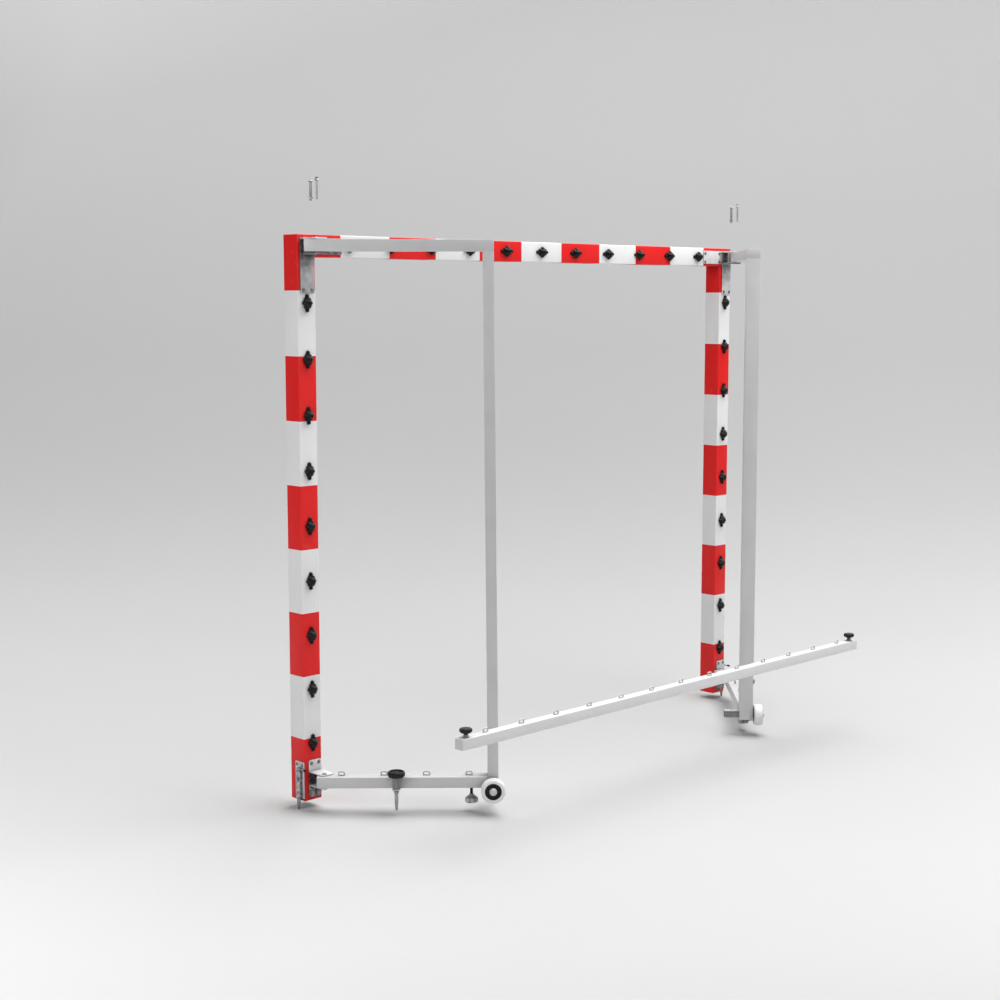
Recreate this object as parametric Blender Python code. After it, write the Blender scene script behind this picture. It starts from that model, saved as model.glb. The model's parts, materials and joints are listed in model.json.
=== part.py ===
"""Folding handball goal with striped posts, swinging side frames and a loose ground bar.

Units are metres and +Z is up. The goal mouth faces -Y and the net side is +Y.
Left and right are those of someone who stands behind the goal, on the net side,
so the left post is at +X.
"""

import math

import bpy
import bmesh
from mathutils import Matrix, Vector

# Clearances shared by all pieces
GAP = 0.0003
BORE_GAP = 0.0004
EPS = 0.002

# Striped goal frame
CLEAR_WIDTH = 2.355
CLEAR_HEIGHT = 2.000
PROFILE = 0.080
PROFILE_WALL = 0.003
PROFILE_EDGE = 0.002

# Net hooks on the rear faces
POST_HOOKS = 9
POST_HOOK_FOOT = 0.217
POST_HOOK_HEADROOM = 0.165
BAR_HOOKS = 11
BAR_HOOK_MARGIN = 0.160
HOOK_TAB_LENGTH = 0.066
HOOK_TAB_WIDTH = 0.015
HOOK_TAB_THICKNESS = 0.004
HOOK_BASE_RADIUS = 0.016
HOOK_BASE_HEIGHT = 0.007
HOOK_NECK_RADIUS = 0.011
HOOK_NECK_HEIGHT = 0.0035
HOOK_HEAD_RADIUS = 0.0205
HOOK_HEAD_FRONT = 0.0145
HOOK_HEAD_HEIGHT = 0.0135
HOOK_SEGMENTS = 10

# Hinge axis of each side frame, from the post's outer face and from its rear face
HINGE_INSET = 0.040
HINGE_BACK = 0.066
FRAME_ANGLE = math.radians(43.8)

# Side frame tubes
TUBE_DEEP = 0.040
TUBE_WIDE = 0.058
TUBE_WALL = 0.0025
ARM_WALL = 0.003
TOP_REACH = 0.606
BOTTOM_REACH = 0.623
TOP_ARM_INSET = 0.020
TOP_ARM_TAIL = 0.0457
TOP_ARM_HEIGHT = 0.042
BOTTOM_ARM_TAIL = 0.0255
BOTTOM_ARM_HEIGHT = 0.041
BOTTOM_ARM_Z = 0.0635
TUBE_FOOT_Z = 0.040

# Top brackets, an angle plate with a two-plate fork for the arm. A plate's shift moves it
# towards the right post, on both posts
PLATE = 0.003
FORK_PLATE = 0.006
FORK_PLAY = 0.002
TOP_PLATE_INSET = 0.006
TOP_PLATE_SHIFT = 0.006
TOP_PLATE_WIDTH = 0.063
TOP_PLATE_DROP = 0.197
TOP_LEG_LENGTH = 0.202
TOP_FORK_INSET = 0.024
TOP_FORK_WIDTH = 0.051
FORK_BACK = 0.080
PLATE_MARGIN = 0.012
LOCK_PIN_BACK = 0.031
SCREW_RADIUS = 0.0055
SCREW_HEIGHT = 0.003
SCREW_INSET = 0.012
LOW_SCREW_INSET = 0.008

# Bottom brackets
LOW_PLATE_INSET = 0.0095
LOW_PLATE_SHIFT = 0.0095
LOW_PLATE_WIDTH = 0.0585
LOW_PLATE_Z = 0.012
LOW_PLATE_TOP = 0.1525
LOW_FORK_INSET = 0.024
LOW_FORK_WIDTH = 0.053
LOW_FORK_PLATE = 0.004
LOW_FORK_BACK = 0.078
LOW_FORK_ABOVE = 0.001
LOW_FORK_BELOW = 0.004
HINGE_BOLT_RADIUS = 0.006
HINGE_COLLAR_RADIUS = 0.011
HINGE_HEAD_RADIUS = 0.0095
HINGE_HEAD_HEIGHT = 0.003

# Loose pins of the top brackets, lifted out above their holes
PIVOT_PIN_RADIUS = 0.0035
PIVOT_HEAD_RADIUS = 0.0085
PIVOT_HEAD_HEIGHT = 0.009
PIVOT_CAP_RADIUS = 0.0065
PIVOT_CAP_HEIGHT = 0.004
PIVOT_PIN_TIP = 0.008
PIVOT_PIN_LIFT = 0.198
LOCK_PIN_RADIUS = 0.005
LOCK_FLANGE_RADIUS = 0.0085
LOCK_FLANGE_HEIGHT = 0.005
LOCK_GRIP = 0.054
LOCK_TIP = 0.008
LOCK_PIN_LIFT = 0.128
PIN_TIP_SHARE = 0.6
LOCK_NECK_SHARE = 0.8

# Post anchors, drop bolts in a sleeve on the posts' outer faces
ANCHOR_PLATE_WIDTH = 0.050
ANCHOR_PLATE_Z = 0.0085
ANCHOR_PLATE_TOP = 0.1485
ANCHOR_SCREW_SIDE = 0.009
SLEEVE_Z = 0.014
SLEEVE_TOP = 0.117
SLEEVE_WALL = 0.0024
DROP_BOLT_RADIUS = 0.0072
DROP_BOLT_FORWARD = 0.0215
DROP_BOLT_OUT = 0.0115
DROP_BOLT_DROP = 0.031
DROP_BOLT_TAPER_Z = -0.004
DROP_BOLT_TIP_RADIUS = 0.0035
HANDLE_ROD_RADIUS = 0.0024
HANDLE_GRIP_RADIUS = 0.0055
HANDLE_GRIP_LENGTH = 0.015
HANDLE_LENGTH = 0.046

# Ground anchors of the side frames
ANCHOR_REACH = 0.268
ANCHOR_OUT = 0.050
ANCHOR_SHAFT_RADIUS = 0.007
ANCHOR_TIP_Z = -0.0118
ANCHOR_TAPER = 0.025
ANCHOR_TIP_SHARE = 0.60
BRACKET_THICKNESS = 0.004
BRACKET_HALF = 0.015
BUSH_TOP_RADIUS = 0.0100
BUSH_FOOT_RADIUS = 0.0088
BUSH_HEIGHT = 0.012
ANCHOR_KNOB_RADIUS = 0.032
ANCHOR_KNOB_Z = 0.113
ANCHOR_KNOB_HEIGHT = 0.0215
KNOB_FOOT_SHARE = 0.88
KNOB_RIM_LOW_SHARE = 0.25
KNOB_RIM_HIGH_SHARE = 0.65
KNOB_TOP_SHARE = 0.80
SPRING_TURNS = 5.0
SPRING_WIRE = 0.0013
SPRING_TOP_RADIUS = 0.0190
SPRING_FOOT_RADIUS = 0.0095
SPRING_POINTS = 10

# Levelling feet
FOOT_REACH = 0.543
FOOT_STEM_RADIUS = 0.0058
FOOT_STEM_INSIDE = 0.014
FOOT_BASE_Z = 0.004
FOOT_BASE_RADIUS = 0.0245
FOOT_BASE_HEIGHT = 0.031
FOOT_SKIRT_SHARE = 0.25
FOOT_NUT_RADIUS = 0.010
FOOT_NUT_HEIGHT = 0.005

# Transport wheels
WHEEL_RADIUS = 0.0455
WHEEL_WIDTH = 0.037
WHEEL_Z = 0.060
WHEEL_BORE = 0.006
WHEEL_RING_RADIUS = 0.031
WHEEL_RECESS = 0.004
WHEEL_SHOULDER = 0.005
AXLE_RADIUS = 0.0055
AXLE_COLLAR_RADIUS = 0.011
AXLE_COLLAR = 0.005
AXLE_HEAD_RADIUS = 0.015
AXLE_HEAD_HEIGHT = 0.005
AXLE_NOSE_RADIUS = 0.0085
AXLE_NOSE_HEIGHT = 0.014
AXLE_INSIDE = 0.010

# Stubs that the ground bar is laid on
STUB_LENGTH = 0.064
STUB_SIZE = 0.030
STUB_Z = 0.050
STUB_BORE = 0.0045
STUB_GROOVE_WIDTH = 0.008
STUB_GROOVE_DEPTH = 0.004

# Net rings
RING_LENGTH = 0.026
RING_HEIGHT = 0.016
RING_WIRE = 0.00225
RING_CORNER = 0.005
ARM_RINGS = 4
ARM_RING_FIRST = 0.064
ARM_RING_PITCH = 0.1567
BAR_RINGS = 13
BAR_RING_PITCH = 0.1768

# Ground bar, shown lifted off its stubs
BAR_SIZE = 0.040
BAR_WALL = 0.0025
BAR_END_PLAY = 0.001
BAR_LIFT_BACK = 0.0693
BAR_LIFT_UP = 0.2487
BAR_KNOB_INSET = 0.033
BAR_KNOB_RADIUS = 0.0225
BAR_KNOB_HEIGHT = 0.0135
BAR_KNOB_NECK = 0.009
BAR_KNOB_FOOT_SHARE = 0.75
BAR_KNOB_TOP_SHARE = 0.78
BAR_KNOB_RIM_LOW_SHARE = 0.30
BAR_KNOB_RIM_HIGH_SHARE = 0.75
BAR_KNOB_LOBES = 8
BAR_KNOB_LOBE_DEPTH = 0.0025
BAR_KNOB_FOOT_LOBES = 0.5
BAR_KNOB_TOP_LOBES = 0.6
BAR_COLLAR_RADIUS = 0.010
BAR_COLLAR_HEIGHT = 0.009
BAR_COLLAR_NECK_SHARE = 0.6
BAR_BOLT_RADIUS = 0.004

# Places that follow from the sizes above
OUTER_WIDTH = CLEAR_WIDTH + 2 * PROFILE
OUTER_HEIGHT = CLEAR_HEIGHT + PROFILE
POST_HOOK_PITCH = (CLEAR_HEIGHT - POST_HOOK_HEADROOM - POST_HOOK_FOOT) / (POST_HOOKS - 1)
BAR_HOOK_PITCH = (CLEAR_WIDTH - 2 * BAR_HOOK_MARGIN) / (BAR_HOOKS - 1)
TOP_ARM_Z = OUTER_HEIGHT - TOP_ARM_INSET - TOP_ARM_HEIGHT
TOP_ARM_TOP = TOP_ARM_Z + TOP_ARM_HEIGHT
BOTTOM_ARM_TOP = BOTTOM_ARM_Z + BOTTOM_ARM_HEIGHT
BRACKET_TOP = BOTTOM_ARM_Z + BRACKET_THICKNESS
FORK_TOP = TOP_ARM_TOP + FORK_PLAY + FORK_PLATE
FORK_FOOT = TOP_ARM_Z - FORK_PLAY - FORK_PLATE
LEAN = (BOTTOM_REACH - TOP_REACH) / (TOP_ARM_TOP - TUBE_FOOT_Z)
STUB_REACH = BOTTOM_REACH - LEAN * (STUB_Z + STUB_SIZE / 2 - TUBE_FOOT_Z)
WHEEL_REACH = BOTTOM_REACH - LEAN * (WHEEL_Z - TUBE_FOOT_Z)
BAR_HALF = OUTER_WIDTH / 2 - HINGE_INSET - TUBE_WIDE / 2 - BAR_END_PLAY
BAR_SEAT_Y = HINGE_BACK + STUB_REACH
BAR_SEAT_Z = STUB_Z + STUB_SIZE + GAP
BAR_Y = BAR_SEAT_Y + BAR_LIFT_BACK
BAR_Z = BAR_SEAT_Z + BAR_LIFT_UP
DEPTH_BEHIND = BAR_Y + max(BAR_KNOB_RADIUS, BAR_SIZE / 2)
REAR_FACE_Y = (PROFILE - DEPTH_BEHIND) / 2
POST_FOOT_Z = DROP_BOLT_DROP
HANDLE_Z = SLEEVE_TOP + HANDLE_GRIP_RADIUS + GAP
SIDES = {"left": 1, "right": -1}


def clear_scene():
    for old in list(bpy.data.objects):
        bpy.data.objects.remove(old, do_unlink=True)


def make_material(name, colour, roughness, metallic):
    material = bpy.data.materials.new(name)
    material.use_nodes = True
    shader = material.node_tree.nodes["Principled BSDF"]
    shader.inputs["Base Color"].default_value = (*colour, 1.0)
    shader.inputs["Roughness"].default_value = roughness
    shader.inputs["Metallic"].default_value = metallic
    material.diffuse_color = (*colour, 1.0)
    return material


def finish_mesh(bm, name, smooth_angle=None):
    """Turn a bmesh into a mesh with its faces pointing out."""
    bmesh.ops.recalc_face_normals(bm, faces=bm.faces)
    mesh = bpy.data.meshes.new(name)
    bm.to_mesh(mesh)
    bm.free()
    if smooth_angle is not None:
        mesh.shade_smooth()
        mesh.set_sharp_from_angle(angle=math.radians(smooth_angle))
    return mesh


def box_mesh(low, high, edge=0.0, seams=()):
    """A box between two corners, with a bevel on its edges or seams across it at some x."""
    bm = bmesh.new()
    bmesh.ops.create_cube(bm, size=1.0)
    size = Vector(high) - Vector(low)
    middle = (Vector(high) + Vector(low)) / 2
    bmesh.ops.scale(bm, vec=size, verts=bm.verts)
    bmesh.ops.translate(bm, vec=middle, verts=bm.verts)
    if edge > 0.0:
        bmesh.ops.bevel(bm, geom=bm.edges[:], offset=edge, segments=1, affect="EDGES")
    for x in seams:
        everything = bm.verts[:] + bm.edges[:] + bm.faces[:]
        bmesh.ops.bisect_plane(bm, geom=everything, plane_co=(x, 0, 0), plane_no=(1, 0, 0))
    return finish_mesh(bm, "box")


def outline_mesh(points, low, high, axis="Y"):
    """An outline in the XZ plane extruded along Y, or one in the XY plane along Z."""
    bm = bmesh.new()
    if axis == "Y":
        corners = [bm.verts.new((x, low, z)) for x, z in points]
        step = (0.0, high - low, 0.0)
    else:
        corners = [bm.verts.new((x, y, low)) for x, y in points]
        step = (0.0, 0.0, high - low)
    face = bm.faces.new(corners)
    grown = bmesh.ops.extrude_face_region(bm, geom=[face])
    moved = [item for item in grown["geom"] if isinstance(item, bmesh.types.BMVert)]
    bmesh.ops.translate(bm, vec=step, verts=moved)
    return finish_mesh(bm, "outline")


def turned_mesh(profile, segments, ring=False):
    """A profile of (radius, z) points turned about Z; a ring profile closes on itself."""
    bm = bmesh.new()
    corners = [bm.verts.new((radius, 0.0, z)) for radius, z in profile]
    pairs = list(zip(corners, corners[1:]))
    if ring:
        pairs.append((corners[-1], corners[0]))
    edges = [bm.edges.new(pair) for pair in pairs]
    bmesh.ops.spin(bm, geom=corners + edges, angle=2 * math.pi, steps=segments,
                   axis=(0.0, 0.0, 1.0), cent=(0.0, 0.0, 0.0))
    bmesh.ops.remove_doubles(bm, verts=bm.verts, dist=0.00001)
    return finish_mesh(bm, "turned", 35)


def wire_mesh(points, radius, resolution):
    """A round wire through the points, with filled ends."""
    curve = bpy.data.curves.new("wire", "CURVE")
    curve.dimensions = "3D"
    curve.bevel_depth = radius
    curve.bevel_resolution = resolution
    curve.use_fill_caps = True
    spline = curve.splines.new("POLY")
    spline.points.add(len(points) - 1)
    for point, place in zip(spline.points, points):
        point.co = (*place, 1.0)
    carrier = bpy.data.objects.new("wire", curve)
    bpy.context.scene.collection.objects.link(carrier)
    bpy.context.view_layer.update()
    evaluated = carrier.evaluated_get(bpy.context.evaluated_depsgraph_get())
    mesh = bpy.data.meshes.new_from_object(evaluated)
    bpy.data.objects.remove(carrier, do_unlink=True)
    bm = bmesh.new()
    bm.from_mesh(mesh)
    bmesh.ops.remove_doubles(bm, verts=bm.verts, dist=0.000001)
    return finish_mesh(bm, "wire")


def joined_mesh(meshes):
    """Several meshes as one, for a tool that cuts or adds them all."""
    bm = bmesh.new()
    for mesh in meshes:
        bm.from_mesh(mesh)
    return finish_mesh(bm, "joined")


def moved_mesh(mesh, place, turn_x=0.0, turn_y=0.0):
    """A copy of a mesh, turned about X and Y and then moved."""
    bm = bmesh.new()
    bm.from_mesh(mesh)
    if turn_x:
        bmesh.ops.rotate(bm, verts=bm.verts, matrix=Matrix.Rotation(turn_x, 3, "X"))
    if turn_y:
        bmesh.ops.rotate(bm, verts=bm.verts, matrix=Matrix.Rotation(turn_y, 3, "Y"))
    bmesh.ops.translate(bm, vec=place, verts=bm.verts)
    return finish_mesh(bm, "moved")


def place_object(name, mesh, material, parent, place=(0.0, 0.0, 0.0), turn=(0.0, 0.0, 0.0)):
    part = bpy.data.objects.new(name, mesh)
    if material is not None and not mesh.materials:
        mesh.materials.append(material)
    bpy.context.scene.collection.objects.link(part)
    part.parent = parent
    part.location = place
    part.rotation_euler = turn
    return part


def place_empty(name, parent, place, turn_z=0.0):
    empty = bpy.data.objects.new(name, None)
    bpy.context.scene.collection.objects.link(empty)
    empty.parent = parent
    empty.location = place
    empty.rotation_euler = (0.0, 0.0, turn_z)
    return empty


def combine(part, mesh, operation):
    """Add a mesh to a part, or cut it out, in the part's own coordinates."""
    tool = place_object(part.name + "_tool", mesh, None, part)
    tool.hide_render = True
    tool.display_type = "WIRE"
    modifier = part.modifiers.new(operation.lower(), "BOOLEAN")
    modifier.operation = operation
    modifier.solver = "EXACT"
    modifier.object = tool


def pin_mesh(radius, low, high, segments=16):
    """A plain upright cylinder."""
    return turned_mesh([(0.0, low), (radius, low), (radius, high), (0.0, high)], segments)


def screw_mesh(x, y, z):
    """A round screw head that stands out along +Y from a plate at y."""
    head = pin_mesh(SCREW_RADIUS, 0.0, SCREW_HEIGHT + PLATE / 2, 10)
    return moved_mesh(head, (x, y - PLATE / 2, z), turn_x=-math.pi / 2)


def ring_mesh(place):
    """A net ring: a wire bow along X that stands on a surface at the given place."""
    half = RING_LENGTH / 2 - RING_WIRE
    top = RING_HEIGHT - RING_WIRE
    root = -TUBE_WALL / 2
    points = [(-half, 0.0, root)]
    for step in range(4):
        angle = step * math.pi / 6
        points.append((-half + RING_CORNER * (1 - math.cos(angle)), 0.0,
                       top - RING_CORNER * (1 - math.sin(angle))))
    for step in range(3, -1, -1):
        angle = step * math.pi / 6
        points.append((half - RING_CORNER * (1 - math.cos(angle)), 0.0,
                       top - RING_CORNER * (1 - math.sin(angle))))
    points.append((half, 0.0, root))
    return moved_mesh(wire_mesh(points, RING_WIRE, 1), place)


def tube_shell(part, inner_low, inner_high):
    combine(part, box_mesh(inner_low, inner_high), "DIFFERENCE")


def add_goal_frame(goal, paint):
    """Two posts and the crossbar between them, of one square profile.

    Each post is closed at its foot and open into the crossbar's end.
    """
    for side, sign in SIDES.items():
        half = PROFILE / 2
        body = box_mesh((-half, -PROFILE, 0.0), (half, 0.0, OUTER_HEIGHT), PROFILE_EDGE)
        post = place_object(f"post_{side}", body, paint, goal,
                            (sign * (OUTER_WIDTH / 2 - half), 0.0, 0.0))
        inner = half - PROFILE_WALL
        tube_shell(post, (-inner, PROFILE_WALL - PROFILE, PROFILE_WALL),
                   (inner, -PROFILE_WALL, OUTER_HEIGHT - PROFILE_WALL))
        window_x = sorted((0.0, -sign * (half + EPS)))
        rim = 2 * PROFILE_WALL
        tube_shell(post, (window_x[0], rim - PROFILE, CLEAR_HEIGHT + rim),
                   (window_x[1], -rim, OUTER_HEIGHT - rim))
    half = CLEAR_WIDTH / 2 - GAP
    body = box_mesh((-half, -PROFILE, 0.0), (half, 0.0, PROFILE), PROFILE_EDGE)
    crossbar = place_object("crossbar", body, paint, goal, (0.0, 0.0, CLEAR_HEIGHT))
    tube_shell(crossbar, (-half - EPS, PROFILE_WALL - PROFILE, PROFILE_WALL),
               (half + EPS, -PROFILE_WALL, PROFILE - PROFILE_WALL))


def hook_mesh():
    """A net hook that stands out along +Z, with its tab along Y."""
    neck = HOOK_BASE_HEIGHT
    head = neck + HOOK_NECK_HEIGHT
    profile = [
        (0.0, 0.0),
        (HOOK_BASE_RADIUS, 0.0),
        (HOOK_BASE_RADIUS, neck),
        (HOOK_NECK_RADIUS, neck),
        (HOOK_NECK_RADIUS, head),
        (HOOK_HEAD_RADIUS, head),
        (HOOK_HEAD_FRONT, head + HOOK_HEAD_HEIGHT),
        (0.0, head + HOOK_HEAD_HEIGHT),
    ]
    return turned_mesh(profile, HOOK_SEGMENTS)


def add_hook(name, goal, plastic, place, along_x):
    turn = (-math.pi / 2, 0.0, 0.0)
    hook = place_object(name, hook_mesh(), plastic, goal, place, turn)
    long_half = HOOK_TAB_LENGTH / 2
    short_half = HOOK_TAB_WIDTH / 2
    half_x = long_half if along_x else short_half
    half_y = short_half if along_x else long_half
    tab = box_mesh((-half_x, -half_y, 0.0), (half_x, half_y, HOOK_TAB_THICKNESS))
    combine(hook, tab, "UNION")


def add_hooks(goal, plastic):
    for side, sign in SIDES.items():
        for index in range(POST_HOOKS):
            height = POST_HOOK_FOOT + index * POST_HOOK_PITCH
            place = (sign * (OUTER_WIDTH / 2 - PROFILE / 2), GAP, height)
            add_hook(f"hook_{side}_{index + 1}", goal, plastic, place, along_x=False)
    for index in range(BAR_HOOKS):
        offset = ((BAR_HOOKS - 1) / 2 - index) * BAR_HOOK_PITCH
        place = (offset, GAP, CLEAR_HEIGHT + PROFILE / 2)
        add_hook(f"hook_crossbar_{index + 1:02d}", goal, plastic, place, along_x=True)


def add_top_bracket(goal, steel, side, sign):
    """Angle plate over the corner, its fork plates and its screw heads."""
    def x(inset):
        return sign * (OUTER_WIDTH / 2 - inset)

    near = TOP_PLATE_INSET + sign * TOP_PLATE_SHIFT
    far = near + TOP_PLATE_WIDTH
    foot = FORK_TOP - TOP_PLATE_DROP
    chamfer = PLATE_MARGIN
    outline = [
        (x(near), foot),
        (x(far), foot),
        (x(far), FORK_FOOT - chamfer),
        (x(far + chamfer), FORK_FOOT),
        (x(TOP_LEG_LENGTH), FORK_FOOT),
        (x(TOP_LEG_LENGTH), FORK_TOP),
        (x(near), FORK_TOP),
    ]
    bracket = place_object(f"top_bracket_{side}", outline_mesh(outline, GAP, PLATE), steel, goal)
    fork_x = sorted((x(TOP_FORK_INSET), x(TOP_FORK_INSET + TOP_FORK_WIDTH)))
    upper = FORK_TOP - FORK_PLATE
    for low in (FORK_FOOT, upper):
        plate = box_mesh((fork_x[0], PLATE / 2, low), (fork_x[1], FORK_BACK, low + FORK_PLATE))
        combine(bracket, plate, "UNION")
    leg_x = [far + chamfer + SCREW_INSET, TOP_LEG_LENGTH - SCREW_INSET]
    leg_z = [FORK_FOOT + LOW_SCREW_INSET, FORK_TOP - SCREW_INSET]
    screws = [(inset, z) for inset in leg_x for z in leg_z]
    screws += [(near + SCREW_INSET, foot + SCREW_INSET), (far - SCREW_INSET, foot + SCREW_INSET)]
    heads = [screw_mesh(x(inset), PLATE, z) for inset, z in screws]
    combine(bracket, joined_mesh(heads), "UNION")
    bores = []
    for back, radius in ((HINGE_BACK, PIVOT_PIN_RADIUS), (LOCK_PIN_BACK, LOCK_PIN_RADIUS)):
        bore = pin_mesh(radius + BORE_GAP, FORK_FOOT - EPS, FORK_TOP + EPS)
        bores.append(moved_mesh(bore, (x(HINGE_INSET), back, 0.0)))
    combine(bracket, joined_mesh(bores), "DIFFERENCE")


def add_bottom_bracket(goal, steel, side, sign):
    """Base plate, fork plates, hinge bolt with its collars, and two screws."""
    def x(inset):
        return sign * (OUTER_WIDTH / 2 - inset)

    near = LOW_PLATE_INSET + sign * LOW_PLATE_SHIFT
    plate_x = sorted((x(near), x(near + LOW_PLATE_WIDTH)))
    body = box_mesh((plate_x[0], GAP, LOW_PLATE_Z), (plate_x[1], PLATE, LOW_PLATE_TOP))
    bracket = place_object(f"bottom_bracket_{side}", body, steel, goal)
    fork_x = sorted((x(LOW_FORK_INSET), x(LOW_FORK_INSET + LOW_FORK_WIDTH)))
    upper = BOTTOM_ARM_TOP + LOW_FORK_ABOVE
    lower = BOTTOM_ARM_Z - LOW_FORK_BELOW - LOW_FORK_PLATE
    for low in (lower, upper):
        plate = box_mesh((fork_x[0], PLATE / 2, low),
                         (fork_x[1], LOW_FORK_BACK, low + LOW_FORK_PLATE))
        combine(bracket, plate, "UNION")
    under = lower + LOW_FORK_PLATE / 2
    over = upper + LOW_FORK_PLATE / 2
    bolt = [
        (0.0, lower - HINGE_HEAD_HEIGHT),
        (HINGE_HEAD_RADIUS, lower - HINGE_HEAD_HEIGHT),
        (HINGE_HEAD_RADIUS, under),
        (HINGE_COLLAR_RADIUS, under),
        (HINGE_COLLAR_RADIUS, BOTTOM_ARM_Z - GAP),
        (HINGE_BOLT_RADIUS, BOTTOM_ARM_Z - GAP),
        (HINGE_BOLT_RADIUS, BOTTOM_ARM_TOP + GAP),
        (HINGE_COLLAR_RADIUS, BOTTOM_ARM_TOP + GAP),
        (HINGE_COLLAR_RADIUS, over),
        (HINGE_HEAD_RADIUS, over),
        (HINGE_HEAD_RADIUS, upper + LOW_FORK_PLATE + HINGE_HEAD_HEIGHT),
        (0.0, upper + LOW_FORK_PLATE + HINGE_HEAD_HEIGHT),
    ]
    combine(bracket, moved_mesh(turned_mesh(bolt, 16), (x(HINGE_INSET), HINGE_BACK, 0.0)), "UNION")
    screw_z = LOW_PLATE_TOP - SCREW_INSET
    heads = [screw_mesh(inset, PLATE, screw_z)
             for inset in (plate_x[0] + SCREW_INSET, plate_x[1] - SCREW_INSET)]
    combine(bracket, joined_mesh(heads), "UNION")


def add_top_pins(goal, steel, side, sign):
    """Pivot pin and lock bolt, above the holes that they drop into."""
    x = sign * (OUTER_WIDTH / 2 - HINGE_INSET)
    seat = FORK_TOP + GAP
    length = FORK_TOP - FORK_FOOT + PIVOT_PIN_TIP
    pivot = [
        (0.0, -length),
        (PIVOT_PIN_RADIUS * PIN_TIP_SHARE, -length),
        (PIVOT_PIN_RADIUS, -length + PIVOT_PIN_RADIUS),
        (PIVOT_PIN_RADIUS, 0.0),
        (PIVOT_HEAD_RADIUS, 0.0),
        (PIVOT_PIN_RADIUS, PIVOT_HEAD_HEIGHT),
        (PIVOT_CAP_RADIUS, PIVOT_HEAD_HEIGHT),
        (PIVOT_CAP_RADIUS, PIVOT_HEAD_HEIGHT + PIVOT_CAP_HEIGHT),
        (0.0, PIVOT_HEAD_HEIGHT + PIVOT_CAP_HEIGHT),
    ]
    place_object(f"pivot_pin_{side}", turned_mesh(pivot, 12), steel, goal,
                 (x, HINGE_BACK, seat + PIVOT_PIN_LIFT))
    flange = LOCK_FLANGE_HEIGHT
    lock = [
        (0.0, 0.0),
        (LOCK_PIN_RADIUS * PIN_TIP_SHARE, 0.0),
        (LOCK_PIN_RADIUS * LOCK_NECK_SHARE, LOCK_TIP),
        (LOCK_FLANGE_RADIUS, LOCK_TIP),
        (LOCK_FLANGE_RADIUS, LOCK_TIP + flange),
        (LOCK_PIN_RADIUS, LOCK_TIP + flange),
        (LOCK_PIN_RADIUS, LOCK_TIP + flange + LOCK_GRIP),
        (LOCK_FLANGE_RADIUS, LOCK_TIP + flange + LOCK_GRIP),
        (LOCK_FLANGE_RADIUS, LOCK_TIP + 2 * flange + LOCK_GRIP),
        (0.0, LOCK_TIP + 2 * flange + LOCK_GRIP),
    ]
    place_object(f"lock_bolt_{side}", turned_mesh(lock, 12), steel, goal,
                 (x, LOCK_PIN_BACK, seat + LOCK_PIN_LIFT))


def add_post_anchor(goal, steel, side, sign):
    """Plate with a sleeve on the post's outer face, and the drop bolt in it."""
    face = OUTER_WIDTH / 2
    bore = DROP_BOLT_RADIUS + BORE_GAP
    outer = bore + SLEEVE_WALL
    near = sign * (face + GAP)
    plate_x = sorted((near, sign * (face + PLATE)))
    body = box_mesh((plate_x[0], -ANCHOR_PLATE_WIDTH, ANCHOR_PLATE_Z),
                    (plate_x[1], -GAP, ANCHOR_PLATE_TOP))
    housing = place_object(f"post_anchor_housing_{side}", body, steel, goal)
    axis_x = sign * (face + DROP_BOLT_OUT)
    axis_y = -DROP_BOLT_FORWARD
    root_x = sign * (face + PLATE / 2)
    sleeve = [(root_x, axis_y - outer)]
    for step in range(13):
        angle = math.pi * (step / 12 - 0.5)
        sleeve.append((axis_x + sign * outer * math.cos(angle), axis_y + outer * math.sin(angle)))
    sleeve.append((root_x, axis_y + outer))
    combine(housing, outline_mesh(sleeve, SLEEVE_Z, SLEEVE_TOP, "Z"), "UNION")
    hole = moved_mesh(pin_mesh(bore, SLEEVE_Z - EPS, SLEEVE_TOP + EPS, 24), (axis_x, axis_y, 0.0))
    combine(housing, hole, "DIFFERENCE")
    heads = []
    for y in (-ANCHOR_SCREW_SIDE, ANCHOR_SCREW_SIDE - ANCHOR_PLATE_WIDTH):
        head = pin_mesh(SCREW_RADIUS, 0.0, SCREW_HEIGHT + PLATE / 2, 10)
        place = (sign * (face + PLATE / 2), y, ANCHOR_PLATE_TOP - SCREW_INSET)
        heads.append(moved_mesh(head, place, turn_y=sign * math.pi / 2))
    combine(housing, joined_mesh(heads), "UNION")

    rod = [
        (0.0, -DROP_BOLT_DROP),
        (DROP_BOLT_TIP_RADIUS, -DROP_BOLT_DROP),
        (DROP_BOLT_RADIUS, DROP_BOLT_TAPER_Z),
        (DROP_BOLT_RADIUS, HANDLE_Z + 2 * HANDLE_ROD_RADIUS),
        (0.0, HANDLE_Z + 2 * HANDLE_ROD_RADIUS),
    ]
    bolt = place_object(f"post_anchor_bolt_{side}", turned_mesh(rod, 18), steel, goal,
                        (axis_x, axis_y, 0.0))
    grip_start = HANDLE_LENGTH - HANDLE_GRIP_LENGTH
    handle = [
        (0.0, DROP_BOLT_RADIUS / 2),
        (HANDLE_ROD_RADIUS, DROP_BOLT_RADIUS / 2),
        (HANDLE_ROD_RADIUS, grip_start),
        (HANDLE_GRIP_RADIUS, grip_start),
        (HANDLE_GRIP_RADIUS, HANDLE_LENGTH),
        (0.0, HANDLE_LENGTH),
    ]
    handle = moved_mesh(turned_mesh(handle, 12), (0.0, 0.0, HANDLE_Z), turn_x=-math.pi / 2)
    combine(bolt, handle, "UNION")


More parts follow.
